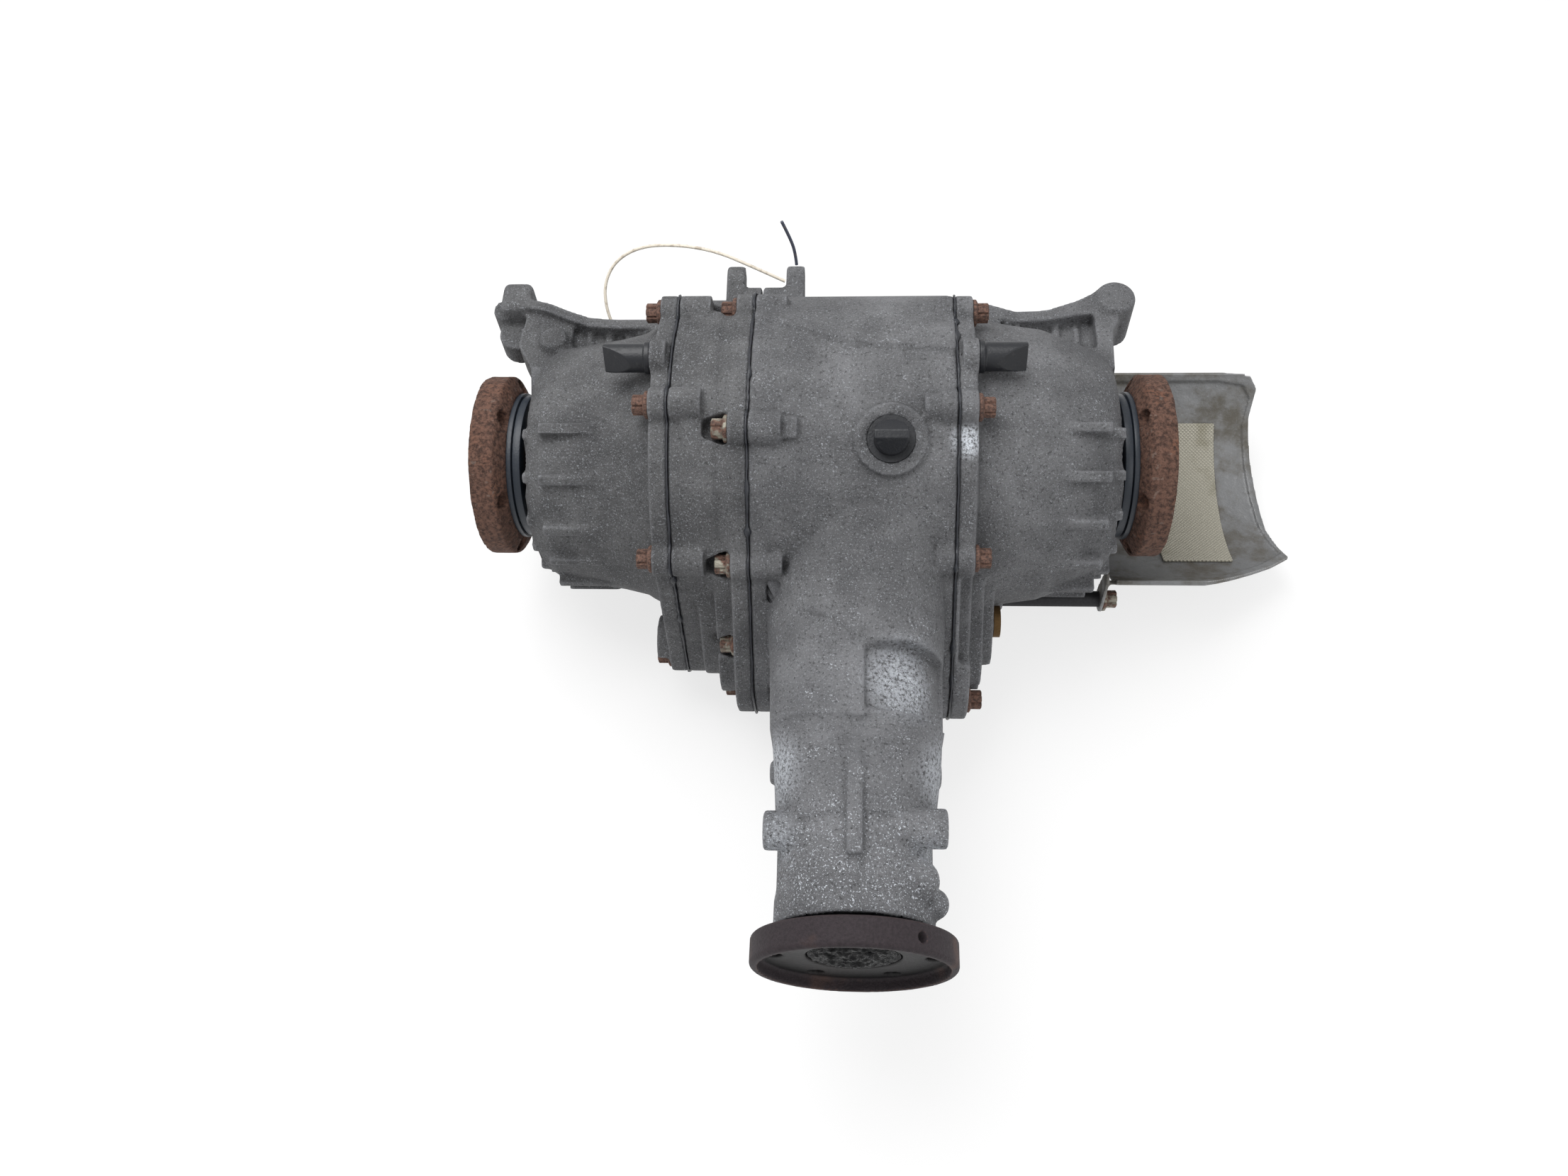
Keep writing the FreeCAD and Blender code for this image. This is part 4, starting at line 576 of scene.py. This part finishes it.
def thin_inside(piece, inside, share):
    """Fewer faces where a test of the vertices says that they lie inside a casting."""
    group = piece.vertex_groups.new(name="inside")
    hidden = np.nonzero(inside(corners(piece)))[0]
    group.add([int(i) for i in hidden], 1.0, "REPLACE")
    modify(piece, "DECIMATE", ratio=share, vertex_group="inside", vertex_group_factor=10)
    piece.vertex_groups.clear()


# The castings

def raised_lines():
    """Ribs, steps and mould marks: node, path, half width, soft edge and height, in millimetres."""
    return (
        ("main_housing", ((0.7, -184, 46), (0.7, -208, 45)), 0.5, 1.6, 0.6),
        ("main_housing", ((-27, -203, 37), (-20, -199, 41), (-14, -195.6, 44), (0, -193, 46),
                          (15, -195, 44), (27, -199, 38), (36, -200, 30)), 1.0, 3.2, 1.2),
    )


def build_casting(settings, node, name, inside):
    piece = node_copy(node)
    skin_over(piece, settings.voxel, settings.fillet_rounds)
    points = corners(piece)
    for where, path, half_width, soft, height in raised_lines():
        if where == node:
            raise_by(piece, line_share(points, path, half_width, soft), height)
    thin_inside(piece, inside, settings.inner_share)
    return piece


def inside_main(points):
    about_x = np.hypot(points[:, 1], points[:, 2]) < 91.5
    about_y = (np.hypot(points[:, 0], points[:, 2]) < 38.5) & (points[:, 1] < -60)
    return about_x | about_y


def inside_drum(points):
    return np.hypot(points[:, 1], points[:, 2]) < 60


class DIFF_OT_castings(bpy.types.Operator):
    """Make the four castings with rounded cast edges and weathered skin"""
    bl_idname = "diff.castings"
    bl_label = "Castings"

    def execute(self, context):
        settings = context.scene.diff_castings
        grime_and_shade = cast_aluminium(settings, "grimy_casting", 0.35)
        cleaner = cast_aluminium(settings, "cleaner_casting", 0.75)
        for node, material, inside in (("main_housing", cleaner, inside_main),
                                       ("intermediate_housing", grime_and_shade, inside_drum),
                                       ("left_cover", grime_and_shade, inside_drum),
                                       ("right_cover", cleaner, inside_drum)):
            piece = build_casting(settings, node, node + "_casting", inside)
            settle(piece, node + "_casting", material, "root", [node])
        return {"FINISHED"}


class DIFF_OT_seams(bpy.types.Operator):
    """Make the three uneven beads of sealant squeezed out at the seams"""
    bl_idname = "diff.seams"
    bl_label = "Seams"

    def execute(self, context):
        material = squeezed_sealant(context.scene.diff_fittings)
        seams = ("left_seam_sealant", "middle_seam_sealant", "right_seam_sealant")
        for number, node in enumerate(seams):
            nodes[node].data.materials.clear()
            nodes[node].data.materials.append(material)
            self.bead(node, number, material)
        return {"FINISHED"}

    def bead(self, node, number, material):
        """A ring whose section wanders along the seam's outline."""
        steps, sides = 420, 8
        tree = BVHTree.FromPolygons([v.co for v in nodes[node].data.vertices],
                                    [tuple(p.vertices) for p in nodes[node].data.polygons])
        centre = Vector((middle(node).x, crossing.y, crossing.z))
        ring = add("torus", major_segments=steps, minor_segments=sides, major_radius=0.1,
                   minor_radius=0.001)
        for index, vertex in enumerate(ring.data.vertices):
            turn = 2 * math.pi * (index // sides) / steps
            out = Vector((0, math.cos(turn), math.sin(turn)))
            hit = tree.ray_cast(centre + out * 0.25, -out)
            reach = (hit[0] - centre).length
            wander = noise.noise(Vector((9 * out.y, 9 * out.z, number)))
            swell = max(0.0, noise.noise(Vector((17 * out.y, 17 * out.z, number + 7.5))))
            half_x = (0.45 + 1.5 * swell * swell * 2) * MM
            half_r = (0.55 + 1.2 * swell) * MM
            angle = 2 * math.pi * (index % sides) / sides
            vertex.co = (centre + out * (reach - 0.35 * MM + half_r * math.sin(angle))
                         + Vector((wander * 0.7 * MM + half_x * math.cos(angle), 0, 0)))
        outward(ring)
        pick(ring)
        bpy.ops.object.shade_smooth()
        settle(ring, node.replace("sealant", "bead"), material, "root")


# Bolts

def islands(node):
    """The middles of a node's separate solids, found by following its faces."""
    piece = node_copy(node)
    pick(piece)
    bpy.ops.object.mode_set(mode="EDIT")
    bpy.ops.mesh.select_all(action="SELECT")
    bpy.ops.mesh.separate(type="LOOSE")
    bpy.ops.object.mode_set(mode="OBJECT")
    found = []
    for part in list(bpy.context.selected_objects):
        flat = corners(part)
        found.append((flat.min(axis=0), flat.max(axis=0)))
        bpy.data.objects.remove(part)
    return sorted(found, key=lambda box: tuple(np.round(box[0], 1)))


def fluted_bolt(face_x, side, y, z, shank):
    """A flanged bolt with six flutes in its head, along X from the face that it clamps."""
    head_r, flange_r, flange_t, head_t = 5.6 * MM, 7.6 * MM, 1.8 * MM, 8.4 * MM
    bolt = add("cylinder", vertices=36, radius=head_r, depth=head_t, location=(0, 0, head_t / 2))
    bpy.ops.object.transform_apply(location=True)

    def fluted(co):
        angle = math.degrees(math.atan2(co.y, co.x)) % 60
        return abs(angle - 30) < 6

    edit(bolt, fluted, lambda: bpy.ops.transform.resize(value=(0.80, 0.80, 1.0),
                                                        center_override=(0, 0, 0)))
    edit(bolt, lambda co, normal: normal.z > 0.9,
         lambda: (bpy.ops.mesh.inset(thickness=0.7 * MM),
                  bpy.ops.transform.translate(value=(0, 0, 0.5 * MM)),
                  bpy.ops.mesh.inset(thickness=1.6 * MM),
                  bpy.ops.transform.translate(value=(0, 0, -0.7 * MM))), "FACE")
    flange = add("cylinder", vertices=36, radius=flange_r, depth=flange_t,
                 location=(0, 0, flange_t / 2))
    bpy.ops.object.transform_apply(location=True)
    edit(flange, lambda co, normal: normal.z > 0.9,
         lambda: (bpy.ops.mesh.inset(thickness=1.5 * MM),
                  bpy.ops.transform.translate(value=(0, 0, 0.9 * MM))), "FACE")
    modify(flange, "BEVEL", width=0.35 * MM, segments=2)
    stem = add("cylinder", vertices=24, radius=4.0 * MM, depth=shank * MM,
               location=(0, 0, -shank * MM / 2))
    whole = join([bolt, flange, stem])
    whole.matrix_world = (Matrix.Translation(at(face_x, y, z))
                          @ Matrix.Rotation(side * math.pi / 2, 4, "Y")
                          @ Matrix.Rotation(math.radians(3 * y), 4, "Z"))
    return whole


class DIFF_OT_bolts(bpy.types.Operator):
    """Make the fluted bolts of the three seams and of the heat shield"""
    bl_idname = "diff.bolts"
    bl_label = "Bolts"

    def execute(self, context):
        colours = context.scene.diff_fittings
        rusty = bolt_finish(colours, "rusty_bolts", 1.0)
        zinc = bolt_finish(colours, "zinc_bolts", 0.55)
        head = 8.4
        for node, side in (("left_cover_bolts", -1), ("intermediate_housing_bolts", -1),
                           ("right_cover_bolts", 1), ("heat_shield_bolts", 1)):
            made = {True: [], False: []}
            for low, high in islands(node):
                y, z = (low[1] + high[1]) / 2, (low[2] + high[2]) / 2
                face = low[0] + head if side < 0 else high[0] - head
                shank = (high[0] - low[0]) - head
                front = node == "intermediate_housing_bolts" and y < -20
                bare = node == "heat_shield_bolts" or front
                made[bare].append(fluted_bolt(face, side, y, z, shank))
            first = True
            for bare, bolts in made.items():
                if bolts:
                    piece = join(bolts)
                    name = node + ("_zinc" if bare else "_rusty")
                    settle(piece, name, zinc if bare else rusty, "root",
                           [node] if first else [])
                    bpy.ops.object.shade_smooth_by_angle(angle=math.radians(32))
                    first = False
        return {"FINISHED"}


# Vents

class DIFF_OT_vents(bpy.types.Operator):
    """Make the three rubber vent caps and the centre vent's ring"""
    bl_idname = "diff.vents"
    bl_label = "Vents"

    def execute(self, context):
        colours = context.scene.diff_fittings
        rubber = black_rubber("vent_rubber", tuple(colours.rubber))
        for node in ("left_vent_cap", "right_vent_cap", "centre_vent_cap"):
            cap = skin_over(node_copy(node), 0.4 * MM, 2)
            settle(cap, node + "_rubber", rubber, "root", [node])
        ring = nodes["centre_vent_ring"]
        ring.data.materials.clear()
        ring.data.materials.append(rubber)
        return {"FINISHED"}


# Flanges

class DIFF_OT_output_flanges(bpy.types.Operator):
    """Make both rusty output flanges and their black rings"""
    bl_idname = "diff.output_flanges"
    bl_label = "Output flanges"

    def execute(self, context):
        colours = context.scene.diff_fittings
        left = rust_scale(colours, "rust_scale_left", 0.15)
        right = rust_scale(colours, "rust_scale_right", 0.40)
        black = black_rubber("slinger_black", tuple(colours.slinger))
        for side, material in (("left", left), ("right", right)):
            node = side + "_output_flange"
            piece = skin_over(node_copy(node), 1.0 * MM, 3)
            points = corners(piece)
            scale = np.array([noise.fractal(Vector(p) * 0.09, 1.0, 2.0, 3) for p in points])
            raise_by(piece, smooth_share(0.5 + scale), 0.25)
            settle(piece, node + "_rusty", material, side + "_output", [node])
            ring = side + "_dust_ring"
            piece = node_copy(ring)
            modify(piece, "BEVEL", width=0.3 * MM, segments=2, limit_method="ANGLE",
                   angle_limit=math.radians(40))
            pick(piece)
            bpy.ops.object.shade_smooth_by_angle(angle=math.radians(30))
            settle(piece, ring + "_black", black, side + "_output", [ring])
        return {"FINISHED"}


class DIFF_OT_input_flange(bpy.types.Operator):
    """Make the input flange and the old grease inside it"""
    bl_idname = "diff.input_flange"
    bl_label = "Input flange"

    def execute(self, context):
        colours = context.scene.diff_fittings
        node = "input_flange"
        piece = skin_over(node_copy(node), 0.9 * MM, 2)
        settle(piece, node + "_scaled", dark_forging(colours, "dark_forging"), "pinion",
               [node])
        self.grease(colours)
        return {"FINISHED"}

    def grease(self, colours):
        """A lumpy disc over the nut and the shaft's end."""
        lump = add("ico_sphere", subdivisions=6, radius=1.0)
        low_y = -292.5
        for vertex in lump.data.vertices:
            way = vertex.co.copy()
            rough = noise.fractal(way * 4.0, 1.0, 2.0, 4)
            radius = 23.4 + 0.5 * rough
            depth = 3.4 + 2.2 * rough
            vertex.co = at(way.x * radius, low_y + way.y * depth, way.z * radius)
        outward(lump)
        pick(lump)
        bpy.ops.object.shade_smooth()
        settle(lump, "input_flange_grease", old_grease(colours), "pinion")


# Heat shield and wires

class DIFF_OT_heat_shield(bpy.types.Operator):
    """Make the heat shield with its worn edges and its woven pad"""
    bl_idname = "diff.heat_shield"
    bl_label = "Heat shield"

    def execute(self, context):
        colours = context.scene.diff_fittings
        piece = skin_over(node_copy("heat_shield"), 0.8 * MM, 2)
        settle(piece, "heat_shield_sheet", shield_sheet(colours), "root",
               ["heat_shield"])
        mat = woven_mat(colours)
        pad = skin_over(node_copy("heat_shield_pad"), 0.7 * MM, 2)
        settle(pad, "heat_shield_pad_weave", mat, "root", ["heat_shield_pad"])
        return {"FINISHED"}


class DIFF_OT_wires(bpy.types.Operator):
    """Lay the white tie wire and the short dark wire end"""
    bl_idname = "diff.wires"
    bl_label = "Wires"

    tie_route = ((-45.1, 99.0, 54.0), (-64.0, 105.0, 60.0), (-88.0, 114.5, 64.5),
                 (-113.0, 120.0, 64.5),
                 (-136.0, 124.0, 59.0), (-152.5, 121.5, 50.0), (-160.0, 112.0, 41.0),
                 (-160.0, 101.0, 32.5), (-156.0, 91.5, 23.5), (-149.5, 83.5, 18.9),
                 (-143.5, 76.5, 18.7))
    tie_length = 0.177
    stub_length = 0.031
    stub_route = ((-38.5, 112.7, 53.8), (-39.0, 115.0, 61.0), (-41.5, 117.5, 70.5),
                  (-46.5, 119.5, 83.0))

    def execute(self, context):
        colours = context.scene.diff_fittings
        diameter = colours.wire_diameter
        white = plain_wire("white_wire", tuple(colours.wire_white))
        dark = plain_wire("dark_wire", tuple(colours.wire_dark))
        for node, slot, route, length, end, material in (
                ("tie_wire", "white_wire", self.tie_route, self.tie_length, "object", white),
                ("wire_stub", "dark_wire", self.stub_route, self.stub_length, "bare", dark)):
            run = self.lay(node + "_run", route, diameter, material)
            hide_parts(node)
        return {"FINISHED"}

    def lay(self, name, route, diameter, material):
        data = bpy.data.curves.new(name, "CURVE")
        data.dimensions = "3D"
        data.bevel_depth = diameter / 2
        data.bevel_resolution = 4
        data.use_fill_caps = True
        line = data.splines.new("NURBS")
        line.points.add(len(route) - 1)
        for point, place in zip(line.points, route):
            point.co = (*at(*place), 1)
        line.order_u = 3
        line.use_endpoint_u = True
        line.resolution_u = 12
        piece = bpy.data.objects.new(name, data)
        bpy.context.scene.collection.objects.link(piece)
        data.materials.append(material)
        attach(piece, "root")
        return piece


class DIFF_OT_inner_finish(bpy.types.Operator):
    """Give every part that stays as the construction model has it its finish"""
    bl_idname = "diff.inner_finish"
    bl_label = "Inner parts"

    def execute(self, context):
        colours = context.scene.diff_fittings
        by_slot = {
            "gear_steel": machined_steel("gear_steel", tuple(colours.steel), 0.3),
            "plated_steel": machined_steel("plated_steel", tuple(colours.zinc), 0.4),
            "bolt_steel": machined_steel("bolt_steel", tuple(colours.steel), 0.45),
            "friction_lining": friction_paper(colours),
            "black_rubber": black_rubber("seal_rubber", tuple(colours.rubber)),
        }
        by_node = {
            "heat_shield_standoffs": machined_steel("standoff_steel", tuple(colours.standoff),
                                                    0.55),
            "oil_plugs": machined_steel("plug_bronze", tuple(colours.bronze), 0.6),
        }
        for entry in frame["record"]["subparts"]:
            name = entry["node"]
            finish = by_node.get(name) or by_slot.get(entry["material_slot"])
            if finish and not nodes[name].hide_render:
                nodes[name].data.materials.clear()
                nodes[name].data.materials.append(finish)
        return {"FINISHED"}


class DIFF_OT_stage(bpy.types.Operator):
    """Set the floor, the soft light and the camera"""
    bl_idname = "diff.stage"
    bl_label = "Stage"

    def execute(self, context):
        stage = context.scene.diff_stage
        context.scene.view_settings.view_transform = "Standard"
        self.floor(stage)
        self.sky(context, stage)
        self.lamp("key", (-0.35, 0.55, 1.1), 0.9, stage.key)
        self.lamp("fill", (0.9, -0.5, 0.9), 0.7, stage.fill)
        self.camera(context, stage)
        return {"FINISHED"}

    def floor(self, stage):
        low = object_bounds()[0]
        floor = add("plane", size=12, location=(0, 0.2, low.z - 0.0005))
        floor.name = "floor"
        material = bpy.data.materials.new("pale_floor")
        material.use_nodes = True
        tree = material.node_tree
        tree.nodes.clear()
        output = tree.nodes.new("ShaderNodeOutputMaterial")
        matt = tree.nodes.new("ShaderNodeBsdfDiffuse")
        matt.inputs["Color"].default_value = (*stage.floor, 1)
        glow = tree.nodes.new("ShaderNodeEmission")
        mixer = tree.nodes.new("ShaderNodeMixShader")
        path = tree.nodes.new("ShaderNodeLightPath")
        seen = tree.nodes.new("ShaderNodeMath")
        seen.operation = "MAXIMUM"
        tree.links.new(path.outputs["Is Camera Ray"], seen.inputs[0])
        tree.links.new(path.outputs["Is Glossy Ray"], seen.inputs[1])
        share = tree.nodes.new("ShaderNodeMath")
        share.operation = "MULTIPLY"
        share.inputs[1].default_value = 0.72
        tree.links.new(seen.outputs[0], share.inputs[0])
        tree.links.new(share.outputs[0], mixer.inputs[0])
        tree.links.new(matt.outputs[0], mixer.inputs[1])
        tree.links.new(glow.outputs[0], mixer.inputs[2])
        tree.links.new(mixer.outputs[0], output.inputs[0])
        floor.data.materials.append(material)
        floor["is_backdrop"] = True

    def sky(self, context, stage):
        world = bpy.data.worlds.new("soft_sky")
        world.use_nodes = True
        back = world.node_tree.nodes["Background"]
        back.inputs["Color"].default_value = (1, 1, 1, 1)
        back.inputs["Strength"].default_value = stage.sky
        context.scene.world = world

    def lamp(self, name, place, size, power):
        data = bpy.data.lights.new(name, "AREA")
        data.energy = power
        data.size = size
        lamp = bpy.data.objects.new(name, data)
        lamp.location = place
        lamp.rotation_euler = (crossing - Vector(place)).to_track_quat("-Z", "Y").to_euler()
        bpy.context.scene.collection.objects.link(lamp)

    def camera(self, context, stage):
        """The camera stands where the photograph was taken from, leaning by its roll."""
        a, e, roll = stage.azimuth, stage.elevation, stage.roll
        back = Vector((math.sin(a) * math.cos(e), -math.cos(a) * math.cos(e), math.sin(e)))
        right = (-back).cross(Vector((0, 0, 1))).normalized()
        up = right.cross(-back)
        side = right * math.cos(roll) + up * math.sin(roll)
        top = up * math.cos(roll) - right * math.sin(roll)
        data = bpy.data.cameras.new("camera")
        data.lens = stage.lens
        camera = bpy.data.objects.new("camera", data)
        turn = Matrix((side, top, back)).transposed().to_4x4()
        camera.matrix_world = Matrix.Translation(at(1.55, -437.03, 630.38)) @ turn
        context.scene.collection.objects.link(camera)
        context.scene.camera = camera


operators = (DIFF_OT_castings, DIFF_OT_seams, DIFF_OT_bolts, DIFF_OT_vents, DIFF_OT_output_flanges,
             DIFF_OT_input_flange, DIFF_OT_heat_shield, DIFF_OT_wires, DIFF_OT_inner_finish,
             DIFF_OT_stage)
groups = {"diff_castings": DIFF_PG_castings, "diff_fittings": DIFF_PG_fittings,
          "diff_stage": DIFF_PG_stage}


class DIFF_PT_panel(bpy.types.Panel):
    """Lists the differential's pieces"""
    bl_idname = "DIFF_PT_panel"
    bl_label = "Differential"
    bl_space_type = "VIEW_3D"
    bl_region_type = "UI"
    bl_category = "Differential"

    def draw(self, context):
        for operator in operators:
            self.layout.operator(operator.bl_idname)


def register():
    for kind in (*groups.values(), *operators, DIFF_PT_panel):
        bpy.utils.register_class(kind)
    for name, kind in groups.items():
        setattr(bpy.types.Scene, name, PointerProperty(type=kind))


def unregister():
    for name in groups:
        delattr(bpy.types.Scene, name)
    for kind in reversed((*groups.values(), *operators, DIFF_PT_panel)):
        bpy.utils.unregister_class(kind)


def main():
    register()
    for operator in operators:
        family, name = operator.bl_idname.split(".")
        getattr(getattr(bpy.ops, family), name)()


if __name__ == "__main__":
    main()
